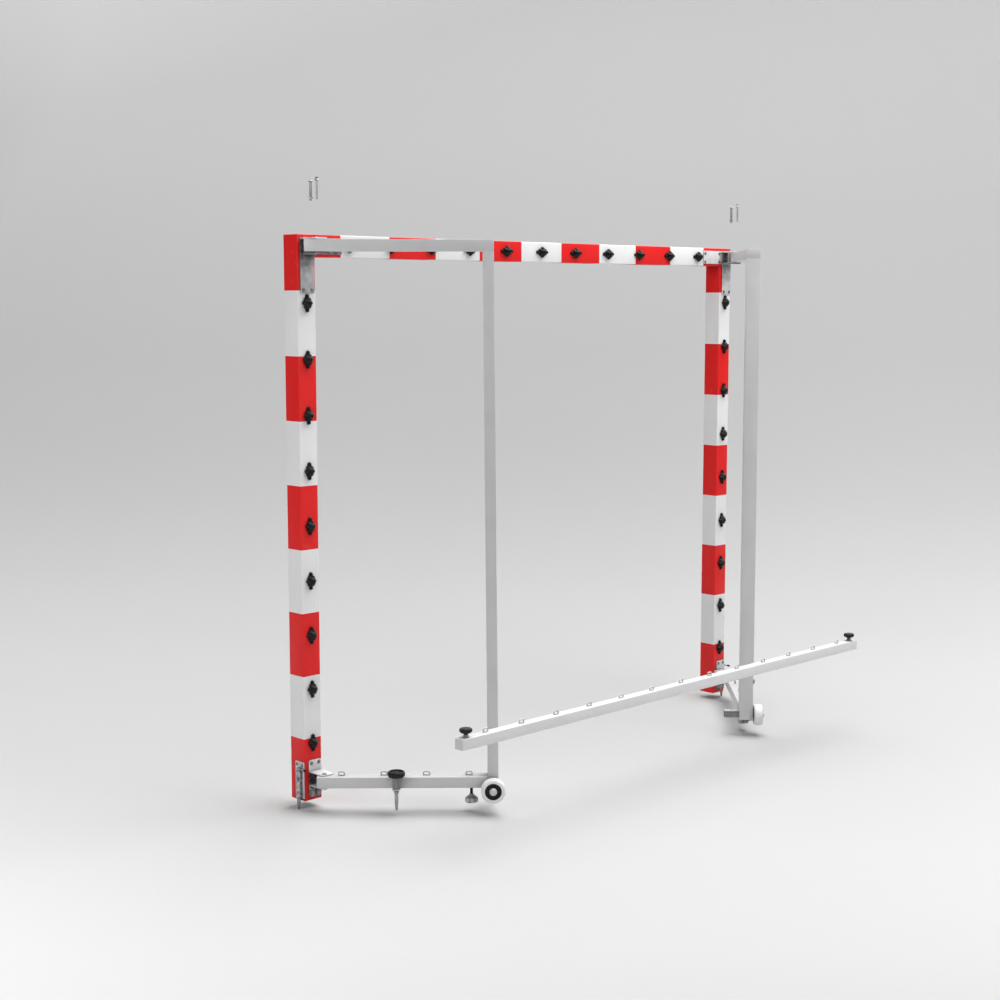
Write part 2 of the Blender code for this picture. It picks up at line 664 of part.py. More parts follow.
def leaning_tube(half_deep, half_wide, foot, head):
    """The upright tube, which leans so that its foot stands further out."""
    bm = bmesh.new()
    bmesh.ops.create_cube(bm, size=1.0)
    for corner in bm.verts:
        z = head if corner.co.z > 0 else foot
        middle = BOTTOM_REACH - LEAN * (z - TUBE_FOOT_Z)
        corner.co = (middle + math.copysign(half_deep, corner.co.x),
                     math.copysign(half_wide, corner.co.y), z)
    return finish_mesh(bm, "leaning_tube")


def add_side_frame(hinge, alloy, side, out):
    """Welded frame: two arms, the leaning upright, rings, stub and anchor bracket.

    Its own coordinates have X along the arms, from the hinge axis, and the
    outer side towards out * Y.
    """
    half_wide = TUBE_WIDE / 2
    half_deep = TUBE_DEEP / 2
    wall = TUBE_WALL
    arm_end = TOP_REACH + half_deep
    body = box_mesh((-TOP_ARM_TAIL, -half_wide, TOP_ARM_Z), (arm_end, half_wide, TOP_ARM_TOP))
    frame = place_object(f"side_frame_{side}", body, alloy, hinge)
    middle_z = (TOP_ARM_Z + TOP_ARM_TOP) / 2
    combine(frame, leaning_tube(half_deep, half_wide, TUBE_FOOT_Z, middle_z), "UNION")
    ring_x = [ARM_RING_FIRST + index * ARM_RING_PITCH for index in range(ARM_RINGS)]
    low_arm = box_mesh((-BOTTOM_ARM_TAIL, -half_wide, BOTTOM_ARM_Z),
                       (BOTTOM_REACH, half_wide, BOTTOM_ARM_TOP),
                       seams=[x + RING_LENGTH for x in ring_x])
    combine(frame, low_arm, "UNION")

    stub_y = sorted((-out * (half_wide - wall / 2), -out * (half_wide + STUB_LENGTH)))
    stub = box_mesh((STUB_REACH - STUB_SIZE / 2, stub_y[0], STUB_Z),
                    (STUB_REACH + STUB_SIZE / 2, stub_y[1], STUB_Z + STUB_SIZE))
    combine(frame, stub, "UNION")
    rings = [ring_mesh((x, 0.0, BOTTOM_ARM_TOP)) for x in ring_x]
    combine(frame, joined_mesh(rings), "UNION")

    anchor_y = out * ANCHOR_OUT
    lug_y = sorted((out * (half_wide - wall / 2), out * (ANCHOR_OUT + BUSH_TOP_RADIUS)))
    lug = box_mesh((ANCHOR_REACH - BRACKET_HALF, lug_y[0], BRACKET_TOP - BRACKET_THICKNESS),
                   (ANCHOR_REACH + BRACKET_HALF, lug_y[1], BRACKET_TOP))
    combine(frame, lug, "UNION")
    bush_top = BRACKET_TOP - BRACKET_THICKNESS / 2
    bush_foot = BRACKET_TOP - BRACKET_THICKNESS - BUSH_HEIGHT
    bush = turned_mesh([(0.0, bush_foot), (BUSH_FOOT_RADIUS, bush_foot),
                        (BUSH_TOP_RADIUS - EPS / 2, bush_top), (0.0, bush_top)], 18)
    combine(frame, moved_mesh(bush, (ANCHOR_REACH, anchor_y, 0.0)), "UNION")

    arm_wide = half_wide - ARM_WALL
    tube_shell(frame, (-TOP_ARM_TAIL - EPS, -arm_wide, TOP_ARM_Z + ARM_WALL),
               (arm_end - ARM_WALL, arm_wide, TOP_ARM_TOP - ARM_WALL))
    upright_bore = leaning_tube(half_deep - wall, half_wide - wall, TUBE_FOOT_Z + wall, middle_z)
    combine(frame, upright_bore, "DIFFERENCE")
    tube_shell(frame, (-BOTTOM_ARM_TAIL - EPS, -arm_wide, BOTTOM_ARM_Z + ARM_WALL),
               (BOTTOM_REACH, arm_wide, BOTTOM_ARM_TOP - ARM_WALL))

    bores = [
        pin_mesh(PIVOT_PIN_RADIUS + BORE_GAP, TOP_ARM_Z - EPS, TOP_ARM_TOP + EPS),
        pin_mesh(HINGE_BOLT_RADIUS + BORE_GAP, BOTTOM_ARM_Z - EPS, BOTTOM_ARM_TOP + EPS),
        moved_mesh(pin_mesh(LOCK_PIN_RADIUS + BORE_GAP, TOP_ARM_Z - EPS, TOP_ARM_TOP + EPS),
                   (LOCK_PIN_BACK - HINGE_BACK, 0.0, 0.0)),
        moved_mesh(pin_mesh(ANCHOR_SHAFT_RADIUS + BORE_GAP, bush_foot - EPS, BRACKET_TOP + EPS),
                   (ANCHOR_REACH, anchor_y, 0.0)),
        moved_mesh(pin_mesh(FOOT_STEM_RADIUS + BORE_GAP, BOTTOM_ARM_Z - EPS,
                            BOTTOM_ARM_Z + ARM_WALL + EPS), (FOOT_REACH, 0.0, 0.0)),
        moved_mesh(pin_mesh(STUB_BORE, STUB_Z - EPS, STUB_Z + STUB_SIZE + EPS),
                   (STUB_REACH, -out * (half_wide + STUB_LENGTH / 2), 0.0)),
        moved_mesh(pin_mesh(AXLE_RADIUS + BORE_GAP, -wall - EPS, wall + EPS),
                   (WHEEL_REACH, out * half_wide, WHEEL_Z), turn_x=math.pi / 2),
    ]
    combine(frame, joined_mesh(bores), "DIFFERENCE")
    groove_y = sorted((-out * (half_wide + EPS), -out * (half_wide + STUB_LENGTH + EPS)))
    groove_x = STUB_REACH - STUB_SIZE / 2
    groove_z = STUB_Z + STUB_SIZE / 2 - STUB_GROOVE_WIDTH / 2
    groove = box_mesh((groove_x - EPS, groove_y[0], groove_z),
                      (groove_x + STUB_GROOVE_DEPTH, groove_y[1], groove_z + STUB_GROOVE_WIDTH))
    combine(frame, groove, "DIFFERENCE")


def add_wheel(hinge, rubber, steel, side, out):
    """Transport wheel on the upright's foot, and the axle bolt that carries it."""
    inner = TUBE_WIDE / 2 + AXLE_COLLAR + GAP
    outer = inner + WHEEL_WIDTH
    web = outer - WHEEL_RECESS
    tread = WHEEL_RADIUS
    shoulder = WHEEL_SHOULDER
    profile = [
        (WHEEL_BORE, inner),
        (tread - shoulder, inner),
        (tread, inner + shoulder),
        (tread, outer - shoulder),
        (tread - shoulder, outer),
        (WHEEL_RING_RADIUS, outer),
        (WHEEL_RING_RADIUS, web),
        (WHEEL_BORE, web),
    ]
    turn = (-out * math.pi / 2, 0.0, 0.0)
    place = (WHEEL_REACH, 0.0, WHEEL_Z)
    place_object(f"wheel_{side}", turned_mesh(profile, 30, ring=True), rubber, hinge, place, turn)
    axle = [
        (0.0, TUBE_WIDE / 2 - AXLE_INSIDE),
        (AXLE_RADIUS, TUBE_WIDE / 2 - AXLE_INSIDE),
        (AXLE_RADIUS, TUBE_WIDE / 2 + GAP),
        (AXLE_COLLAR_RADIUS, TUBE_WIDE / 2 + GAP),
        (AXLE_COLLAR_RADIUS, inner - GAP),
        (AXLE_RADIUS, inner - GAP),
        (AXLE_RADIUS, web + GAP),
        (AXLE_HEAD_RADIUS, web + GAP),
        (AXLE_HEAD_RADIUS, web + AXLE_HEAD_HEIGHT),
        (AXLE_NOSE_RADIUS, web + AXLE_HEAD_HEIGHT),
        (AXLE_NOSE_RADIUS, web + AXLE_NOSE_HEIGHT),
        (0.0, web + AXLE_NOSE_HEIGHT),
    ]
    place_object(f"axle_bolt_{side}", turned_mesh(axle, 16), steel, hinge, place, turn)


def add_levelling_foot(hinge, plastic, side):
    """Threaded stem with its bell-shaped base, under the bottom arm."""
    dome = [(FOOT_BASE_RADIUS, FOOT_BASE_Z)]
    for step in range(6):
        angle = step * math.pi / 12
        share = FOOT_SKIRT_SHARE + (1 - FOOT_SKIRT_SHARE) * math.sin(angle)
        dome.append((FOOT_STEM_RADIUS + (FOOT_BASE_RADIUS - FOOT_STEM_RADIUS) * math.cos(angle),
                     FOOT_BASE_Z + FOOT_BASE_HEIGHT * share))
    profile = [(0.0, FOOT_BASE_Z)] + dome + [
        (FOOT_STEM_RADIUS, FOOT_BASE_Z + FOOT_BASE_HEIGHT),
        (FOOT_STEM_RADIUS, BOTTOM_ARM_Z - FOOT_NUT_HEIGHT - GAP),
        (FOOT_NUT_RADIUS, BOTTOM_ARM_Z - FOOT_NUT_HEIGHT - GAP),
        (FOOT_NUT_RADIUS, BOTTOM_ARM_Z - GAP),
        (FOOT_STEM_RADIUS, BOTTOM_ARM_Z - GAP),
        (FOOT_STEM_RADIUS, BOTTOM_ARM_Z + FOOT_STEM_INSIDE),
        (0.0, BOTTOM_ARM_Z + FOOT_STEM_INSIDE),
    ]
    place_object(f"levelling_foot_{side}", turned_mesh(profile, 16), plastic, hinge,
                 (FOOT_REACH, 0.0, 0.0))


def spring_points():
    """A conical helix from the bracket up to the knob."""
    foot = BRACKET_TOP + GAP + SPRING_WIRE
    head = ANCHOR_KNOB_Z - GAP - SPRING_WIRE
    count = int(SPRING_TURNS * SPRING_POINTS)
    points = []
    for index in range(count + 1):
        share = index / count
        angle = 2 * math.pi * SPRING_TURNS * share
        radius = SPRING_FOOT_RADIUS + (SPRING_TOP_RADIUS - SPRING_FOOT_RADIUS) * share
        points.append((radius * math.cos(angle), radius * math.sin(angle),
                       foot + (head - foot) * share))
    return points


def print_spring_gap(points):
    """Print the least clear distance between turns of the spring's wire."""
    least = 1.0
    near = SPRING_POINTS // 2
    for index, point in enumerate(points):
        for other in points[index + near:]:
            least = min(least, (Vector(point) - Vector(other)).length)
    print(f"spring: least gap between turns {1000 * (least - 2 * SPRING_WIRE):.2f} mm")


def add_ground_anchor(hinge, steel, plastic, side, out):
    """Sprung spike with its hand knob, beside the bottom arm."""
    knob_top = ANCHOR_KNOB_Z + ANCHOR_KNOB_HEIGHT
    rim = ANCHOR_KNOB_RADIUS
    profile = [
        (0.0, ANCHOR_TIP_Z),
        (ANCHOR_SHAFT_RADIUS * ANCHOR_TIP_SHARE, ANCHOR_TIP_Z),
        (ANCHOR_SHAFT_RADIUS, ANCHOR_TIP_Z + ANCHOR_TAPER),
        (ANCHOR_SHAFT_RADIUS, ANCHOR_KNOB_Z),
        (rim * KNOB_FOOT_SHARE, ANCHOR_KNOB_Z),
        (rim, ANCHOR_KNOB_Z + ANCHOR_KNOB_HEIGHT * KNOB_RIM_LOW_SHARE),
        (rim, ANCHOR_KNOB_Z + ANCHOR_KNOB_HEIGHT * KNOB_RIM_HIGH_SHARE),
        (rim * KNOB_TOP_SHARE, knob_top),
        (0.0, knob_top),
    ]
    place = (ANCHOR_REACH, out * ANCHOR_OUT, 0.0)
    place_object(f"ground_anchor_{side}", turned_mesh(profile, 24), plastic, hinge, place)
    points = spring_points()
    spring = place_object(f"anchor_spring_{side}", wire_mesh(points, SPRING_WIRE, 1), steel,
                          hinge, place)
    spring.data.shade_smooth()
    print_spring_gap(points)


def knob_mesh():
    """Lobed hand knob with a conical neck, a collar and its bolt, seated at z = 0."""
    bm = bmesh.new()
    count = 3 * BAR_KNOB_LOBES
    neck_top = BAR_COLLAR_HEIGHT + BAR_KNOB_NECK
    rim_low = neck_top + BAR_KNOB_HEIGHT * BAR_KNOB_RIM_LOW_SHARE
    rim_high = neck_top + BAR_KNOB_HEIGHT * BAR_KNOB_RIM_HIGH_SHARE
    levels = [
        (BAR_WALL - BAR_SIZE, BAR_BOLT_RADIUS, 0.0),
        (0.0, BAR_BOLT_RADIUS, 0.0),
        (0.0, BAR_COLLAR_RADIUS, 0.0),
        (BAR_COLLAR_HEIGHT / 2, BAR_COLLAR_RADIUS, 0.0),
        (BAR_COLLAR_HEIGHT, BAR_COLLAR_RADIUS * BAR_COLLAR_NECK_SHARE, 0.0),
        (neck_top, BAR_KNOB_RADIUS * BAR_KNOB_FOOT_SHARE, BAR_KNOB_FOOT_LOBES),
        (rim_low, BAR_KNOB_RADIUS, 1.0),
        (rim_high, BAR_KNOB_RADIUS, 1.0),
        (neck_top + BAR_KNOB_HEIGHT, BAR_KNOB_RADIUS * BAR_KNOB_TOP_SHARE, BAR_KNOB_TOP_LOBES),
    ]
    loops = []
    for height, radius, lobes in levels:
        loop = []
        for index in range(count):
            angle = 2 * math.pi * index / count
            dent = BAR_KNOB_LOBE_DEPTH * lobes * (1 - math.cos(BAR_KNOB_LOBES * angle)) / 2
            reach = radius - dent
            loop.append(bm.verts.new((reach * math.cos(angle), reach * math.sin(angle), height)))
        loops.append(loop)
    for lower, upper in zip(loops, loops[1:]):
        for index in range(count):
            after = (index + 1) % count
            bm.faces.new((lower[index], lower[after], upper[after], upper[index]))
    bm.faces.new(loops[0])
    bm.faces.new(loops[-1])
    return finish_mesh(bm, "knob", 40)


def add_ground_bar(goal, alloy, plastic):
    """Loose bar with its net rings and two hand knobs, held above its stubs."""
    half = BAR_SIZE / 2
    place = (0.0, BAR_Y, BAR_Z)
    offsets = [((BAR_RINGS - 1) / 2 - index) * BAR_RING_PITCH for index in range(BAR_RINGS)]
    seams = [x + BAR_RING_PITCH / 2 for x in offsets] + [offsets[-1] - BAR_RING_PITCH / 2]
    seams = [x for x in seams if abs(x) < BAR_HALF - BAR_KNOB_INSET - 2 * BAR_BOLT_RADIUS]
    body = box_mesh((-BAR_HALF, -half, 0.0), (BAR_HALF, half, BAR_SIZE), seams=seams)
    bar = place_object("ground_bar", body, alloy, goal, place)
    combine(bar, joined_mesh([ring_mesh((x, 0.0, BAR_SIZE)) for x in offsets]), "UNION")
    inner = half - BAR_WALL
    tube_shell(bar, (-BAR_HALF + BAR_WALL, -inner, BAR_WALL),
               (BAR_HALF - BAR_WALL, inner, BAR_SIZE - BAR_WALL))
    knob_x = BAR_HALF - BAR_KNOB_INSET
    hole = pin_mesh(BAR_BOLT_RADIUS + BORE_GAP, -EPS, BAR_SIZE + EPS, 12)
    holes = [moved_mesh(hole, (sign * knob_x, 0.0, 0.0)) for sign in SIDES.values()]
    combine(bar, joined_mesh(holes), "DIFFERENCE")
    for side, sign in SIDES.items():
        place_object(f"bar_knob_{side}", knob_mesh(), plastic, goal,
                     (sign * knob_x, BAR_Y, BAR_Z + BAR_SIZE + GAP))


def build():
    clear_scene()
    paint = make_material("striped_paint", (0.80, 0.80, 0.80), 0.35, 0.0)
    plastic = make_material("black_plastic", (0.02, 0.02, 0.02), 0.45, 0.0)
    steel = make_material("zinc_steel", (0.55, 0.55, 0.56), 0.35, 1.0)
    alloy = make_material("grey_alloy", (0.45, 0.45, 0.47), 0.45, 0.6)
    rubber = make_material("white_rubber", (0.78, 0.78, 0.78), 0.5, 0.0)

    goal = place_empty("goal", None, (0.0, REAR_FACE_Y, POST_FOOT_Z))
    add_goal_frame(goal, paint)
    add_hooks(goal, plastic)
    for side, sign in SIDES.items():
        add_top_bracket(goal, steel, side, sign)
        add_bottom_bracket(goal, steel, side, sign)
        add_top_pins(goal, steel, side, sign)
        add_post_anchor(goal, steel, side, sign)
        turn = math.pi - FRAME_ANGLE if sign > 0 else FRAME_ANGLE
        hinge = place_empty(f"frame_hinge_{side}", goal,
                            (sign * (OUTER_WIDTH / 2 - HINGE_INSET), HINGE_BACK, 0.0), turn)
        add_side_frame(hinge, alloy, side, -sign)
        add_wheel(hinge, rubber, steel, side, -sign)
        add_levelling_foot(hinge, plastic, side)
        add_ground_anchor(hinge, steel, plastic, side, -sign)
    add_ground_bar(goal, alloy, plastic)
    bpy.context.view_layer.update()


build()
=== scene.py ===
"""Studio view of a folding handball goal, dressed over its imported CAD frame.

Units are metres. The goal mouth faces -Y, the net side is +Y, and left and right are
those of someone who stands on the net side, so the left post is at +X.
"""

import json
import math

import bmesh
import bpy
from mathutils import Matrix, Vector


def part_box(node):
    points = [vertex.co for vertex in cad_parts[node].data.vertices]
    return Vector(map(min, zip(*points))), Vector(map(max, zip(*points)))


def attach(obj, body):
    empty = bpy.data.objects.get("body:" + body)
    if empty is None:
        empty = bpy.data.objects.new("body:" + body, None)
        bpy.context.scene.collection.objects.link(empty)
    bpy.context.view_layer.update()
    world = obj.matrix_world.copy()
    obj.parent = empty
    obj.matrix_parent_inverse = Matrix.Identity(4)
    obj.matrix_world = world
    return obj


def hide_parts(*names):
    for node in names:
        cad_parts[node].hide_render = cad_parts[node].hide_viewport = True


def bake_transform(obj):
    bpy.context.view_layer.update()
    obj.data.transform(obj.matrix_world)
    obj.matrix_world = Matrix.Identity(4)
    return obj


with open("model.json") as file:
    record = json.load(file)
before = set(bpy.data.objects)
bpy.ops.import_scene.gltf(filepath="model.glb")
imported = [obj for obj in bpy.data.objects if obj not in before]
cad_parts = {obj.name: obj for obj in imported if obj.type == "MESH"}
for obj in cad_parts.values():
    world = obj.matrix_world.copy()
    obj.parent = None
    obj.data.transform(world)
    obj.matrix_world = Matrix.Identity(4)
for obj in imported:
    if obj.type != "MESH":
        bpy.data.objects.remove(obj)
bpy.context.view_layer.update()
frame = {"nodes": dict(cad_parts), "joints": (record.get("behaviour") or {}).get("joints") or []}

# Places read from the frame
POST_LOW, POST_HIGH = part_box("post_left")
REAR_Y = POST_HIGH.y
FOOT_Z = POST_LOW.z
TOP_Z = POST_HIGH.z
HALF_WIDTH = POST_HIGH.x
BAR_LOW, BAR_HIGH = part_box("ground_bar")
BAR_SIZE = BAR_HIGH.y - BAR_LOW.y
JOINTS = {joint["name"]: joint for joint in frame["joints"]}
SIDES = {"left": 1, "right": -1}

# Striped profile
PAINT_EDGE = 0.0025
CORNER_BAND = 0.2
BAND = 0.235
REDS = ((0.75, 0.014, 0.014), (0.79, 0.017, 0.017))

# Side frame, in coordinates with X along the arms from the hinge axis
TUBE_DEEP = 0.04
TUBE_WIDE = 0.058
TUBE_EDGE = 0.0015
TOP_REACH = 0.606
BOTTOM_REACH = 0.623
TOP_ARM = (2.018, 2.06)
BOTTOM_ARM = (0.0635, 0.1045)
TUBE_FOOT = 0.04
TOP_TAIL = 0.0457
BOTTOM_TAIL = 0.0255
LEAN = (BOTTOM_REACH - TOP_REACH) / (TOP_ARM[1] - TUBE_FOOT)
HINGE_BACK = 0.066
HINGE_INSET = 0.04
STUB_LENGTH = 0.064
STUB_RISE = 0.025
STUB_TOP = 0.08
FOOT_REACH = 0.543
ANCHOR_REACH = 0.268
ANCHOR_OUT = 0.05

# Brackets
PLATE_FACES = (0.0003, 0.003)
PLATE_EDGE = 0.0007
SCREW_INSET = 0.012
FORK_NEAR = 0.024
FORK_ROOT = 0.002
FORK_BEAD_Y = 0.0036
TOP_PLATE_INSET = {"left": 0.012, "right": 0.0}
TOP_PLATE_WIDTH = 0.063
TOP_PLATE_FOOT = 1.871
TOP_LEG_LENGTH = 0.202
TOP_CHAMFER = 0.012
TOP_FORK = (2.01, 2.062)
TOP_FORK_PLATE = 0.006
TOP_FORK_FAR = 0.075
TOP_FORK_TIP = 0.08
FORK_BORE = 0.0039
ARM_BORE = 0.0042
LOCK_BOLT_Y = 0.031
LOCK_HOLE = 0.0054
LOW_PLATE_INSET = {"left": 0.019, "right": 0.0}
LOW_PLATE_WIDTH = 0.0585
LOW_PLATE = (0.012, 0.1525)
LOW_FORK = (0.0555, 0.1055)
LOW_FORK_PLATE = 0.004
LOW_FORK_FAR = 0.077
LOW_FORK_TIP = 0.078

# Wheels
WHEEL_Z = 0.06
WHEEL_RADIUS = 0.0455
WHEEL_WIDTH = 0.037
WHEEL_GAP = 0.0053

# Ground anchors
LUG = (0.0635, 0.0675)
BUSH_FOOT = 0.0515
KNOB_Z = 0.113
SPIKE_TIP = -0.0118
SPRING_RADII = (0.0122, 0.0191)
SPRING_WIRE = 0.0011
SPRING_TURNS = 5.0

# Post anchors
ANCHOR_PLATE = (-0.05, -0.0003, 0.0085, 0.1485)
SLEEVE = (0.014, 0.117)
SLEEVE_OUT = 0.0115
SLEEVE_BACK = 0.0215
SLEEVE_RADIUS = 0.01
SLEEVE_BORE = 0.0076
SLEEVE_ROOT = 0.0098
BOLT_RADIUS = 0.0072
HANDLE_Z = 0.1228

# Net rings and hooks
RING_LENGTH = 0.026
RING_HEIGHT = 0.016
RING_WIRE = 0.00225
RING_CORNER = 0.005
FRAME_RINGS = 4
FRAME_RING_START = 0.064
FRAME_RING_PITCH = 0.1567
BAR_RINGS = 13
BAR_RING_PITCH = 0.1768
TAB_HALF_WIDTH = 0.0075
TAB_REACH = 0.0255

# Stage: painted light, as tones by the way along floor and backdrop, then their slope and curve
# across
PAINTED_STAGE_LIGHT = ((-2.0, 0.59), (-1.0, 0.54), (0.0, 0.49), (1.0, 0.469), (2.0, 0.469), (3.5, 0.455),
    (5.0, 0.434), (6.5, 0.436), (8.0, 0.455), (10.0, 0.497), (12.0, 0.53))
PAINTED_SIDE_LIGHT = (-0.017, 0.031)
PALEST_TONE = 0.82
GLOW_HEIGHTS = (0.5, 6.0)
GLOW = 0.43
STAGE_FRONT, STAGE_BACK, STAGE_TOP = -9.0, 8.6, 9.0
STAGE_CURVE = 7.0
STAGE_HALF = 16.0

# Light: each lamp's place, target, size and power
WORLD_LIGHT = 0.1
LAMPS = {
    "overhead": ((-1.5, 0.8, 6.0), (-0.4, 0.0, 0.4), (5.6, 5.0), 585.0),
    "front_sky": ((-1.0, -3.5, 6.5), (0.0, 0.0, 0.5), (6.0, 3.0), 150.0),
    "rear_key": ((-1.5, 7.0, 3.6), (0.0, 0.0, 1.0), (4.0, 3.0), 85.0),
    "side_fill": ((4.4, 0.3, 2.4), (1.2, 0.0, 1.0), (2.0, 2.0), 52.0),
}

# Camera, in the photograph's place
CAMERA_FROM_POST = (3.7185, 4.782, 1.8466)
CAMERA_YAW = math.radians(44.725)
CAMERA_PITCH = math.radians(6.831)
CAMERA_LENS = 60.12
CAMERA_SENSOR = 36.0
CAMERA_SIGHT = 100.0


def link(thing):
    bpy.context.scene.collection.objects.link(thing)
    return thing


# Node-based materials

class Nodes:
    """A material's node tree with short calls for the nodes used here."""

    def __init__(self, name):
        self.material = bpy.data.materials.new(name)
        self.material.use_nodes = True
        self.tree = self.material.node_tree
        self.shader = self.tree.nodes["Principled BSDF"]
        self.place = self.add("ShaderNodeTexCoord").outputs["Object"]

    def feed(self, socket, value):
        """Give a socket a number, a colour or another node's output."""
        if isinstance(value, (int, float)):
            socket.default_value = value
        elif isinstance(value, tuple):
            socket.default_value = (*value, 1.0)
        else:
            self.tree.links.new(value, socket)

    def add(self, kind, inputs=(), **settings):
        node = self.tree.nodes.new(kind)
        for key, value in settings.items():
            setattr(node, key, value)
        for key, value in dict(inputs).items():
            self.feed(node.inputs[key], value)
        return node

    def set(self, **values):
        for key, value in values.items():
            self.feed(self.shader.inputs[key.replace("_", " ")], value)

    def math(self, operation, *values):
        node = self.add("ShaderNodeMath", enumerate(values), operation=operation)
        return node.outputs[0]

    def times(self, first, second):
        return self.math("MULTIPLY", first, second)

    def axes(self):
        return self.add("ShaderNodeSeparateXYZ", {0: self.place}).outputs

    def noise(self, scale, detail=4.0, roughness=0.55, place=None):
        inputs = {"Scale": scale, "Detail": detail, "Roughness": roughness,
            "Vector": place or self.place}
        return self.add("ShaderNodeTexNoise", inputs).outputs["Fac"]

    def stretched(self, scale):
        node = self.add("ShaderNodeMapping", {"Vector": self.place})
        node.inputs["Scale"].default_value = scale
        return node.outputs["Vector"]

    def span(self, value, low, high, new_low=0.0, new_high=1.0, **settings):
        inputs = {"Value": value, "From Min": low, "From Max": high, "To Min": new_low,
            "To Max": new_high}
        return self.add("ShaderNodeMapRange", inputs, **settings).outputs["Result"]

    def mix(self, share, first, second):
        inputs = {"Factor": share, "A": first, "B": second}
        return self.add("ShaderNodeMix", inputs, data_type="RGBA").outputs["Result"]

    def edges(self, radius, low, high):
        """A share that rises on outer edges, for wear and a painted edge highlight."""
        bevel = self.add("ShaderNodeBevel", {"Radius": radius}, samples=4).outputs["Normal"]
        normal = self.add("ShaderNodeNewGeometry").outputs["Normal"]
        likeness = self.add("ShaderNodeVectorMath", {0: bevel, 1: normal}, operation="DOT_PRODUCT")
        return self.span(likeness.outputs["Value"], high, low)

    def painted_corner_shade(self, distance, low, high):
        """A share that rises in corners and other sheltered places, where shade is painted."""
        node = self.add("ShaderNodeAmbientOcclusion", {"Distance": distance}, samples=12)
        return self.span(node.outputs["AO"], low, high, 1.0, 0.0)

    def bump(self, height, strength, distance):
        inputs = {"Strength": strength, "Distance": distance, "Height": height}
        self.set(Normal=self.add("ShaderNodeBump", inputs).outputs["Normal"])


def grey(level, blue=0.01):
    """A grey with a little more blue."""
    return (level, level, level + blue)


def striped_paint(name, axis, low_white, high_white):
    """White powder coat with red bands along the given axis, with painted shade in its corners."""
    nodes = Nodes(name)
    places = nodes.axes()
    if axis == "Z":
        along = nodes.math("SUBTRACT", TOP_Z - CORNER_BAND, places["Z"])
    else:
        along = nodes.math("ADD", nodes.math("ABSOLUTE", places["X"]), BAND / 2)
    count = nodes.math("DIVIDE", along, BAND)
    red = nodes.math("GREATER_THAN", nodes.math("FLOORED_MODULO", count, 2.0), 1.0)
    cloud = nodes.span(nodes.noise(3.0, 3.0), 0.3, 0.7)
    white = nodes.mix(cloud, grey(low_white, 0.0), grey(high_white, 0.0))
    colour = nodes.mix(red, white, nodes.mix(cloud, *REDS))
    # Painted shade: the paint turns dark grey or dark red in corners and beside hooks and brackets.
    dark = nodes.times(nodes.painted_corner_shade(0.06, 0.3, 0.95), 0.45)
    shade = nodes.mix(red, (0.1, 0.1, 0.1), (0.12, 0.004, 0.004))
    colour = nodes.mix(dark, colour, shade)
    scuff = nodes.span(nodes.noise(38.0, 6.0, 0.7), 0.62, 0.72, 0.0, 0.1)
    colour = nodes.mix(scuff, colour, (0.45, 0.44, 0.43))
    middle = nodes.math("SUBTRACT", nodes.math("FRACT", count), 0.5)
    lip = nodes.span(nodes.math("ABSOLUTE", middle), 0.496, 0.5)
    rough = nodes.span(nodes.noise(60.0, 4.0), 0.3, 0.7, 0.36, 0.5)
    nodes.set(Base_Color=colour, Roughness=rough, Specular_IOR_Level=0.25)
    speck = nodes.times(nodes.noise(420.0, 2.0), 0.35)
    nodes.bump(nodes.math("ADD", speck, nodes.times(lip, 0.6)), 0.25, 0.0006)
    return nodes.material


def metal(name, colour, tint, rough, metallic, grain, scratch=0.0, shadow=0.0, mottle=9.0,
        gloss=0.5, shade_by_height=None, reach=0.06):
    """Brushed or plated metal: drawn lines, dull patches, lighter edges that are partly wear and
    partly a painted highlight, and painted shade in corners.

    Painted shade by height is given as (colour, height of all of it, height of none of it,
    height that ends it) in the piece's coordinates.
    """
    nodes = Nodes(name)
    cloud = nodes.noise(mottle, 5.0)
    fine = nodes.noise(1.0, 3.0, 0.6, nodes.stretched(grain))
    base = nodes.mix(nodes.span(cloud, 0.38, 0.62), colour, tint)
    if shade_by_height:
        # Painted shade: the colour darkens towards one height, broken up by mottled streaks.
        shade_colour, full, none, end = shade_by_height
        height = nodes.axes()["Z"]
        share = nodes.times(nodes.span(height, full, none, 1.0, 0.0),
            nodes.math("LESS_THAN", height, end))
        streaks = nodes.span(cloud, 0.4, 0.75, 0.0, 0.6)
        base = nodes.mix(share, base, nodes.mix(streaks, shade_colour, tint))
    worn_and_lit_edge = tuple(min(1.0, channel * 1.25) for channel in tint)
    # Lighter edges: partly wear, partly a painted highlight.
    base = nodes.mix(nodes.times(nodes.edges(0.002, 0.75, 0.98), 0.5), base, worn_and_lit_edge)
    if shadow:
        # Painted shade: near-black in corners and under nearby parts, as strong as the shadow
        # argument.
        dark = nodes.times(nodes.painted_corner_shade(reach, 0.25, 0.95), shadow)
        base = nodes.mix(dark, base, grey(0.012, 0.001))
    level = nodes.math("ADD", nodes.times(cloud, 0.6), nodes.times(fine, 0.4))
    nodes.set(Base_Color=base, Roughness=nodes.span(level, 0.3, 0.7, *rough), Metallic=metallic,
        Specular_IOR_Level=gloss)
    nodes.bump(fine, 0.08 + scratch, 0.0002)
    return nodes.material


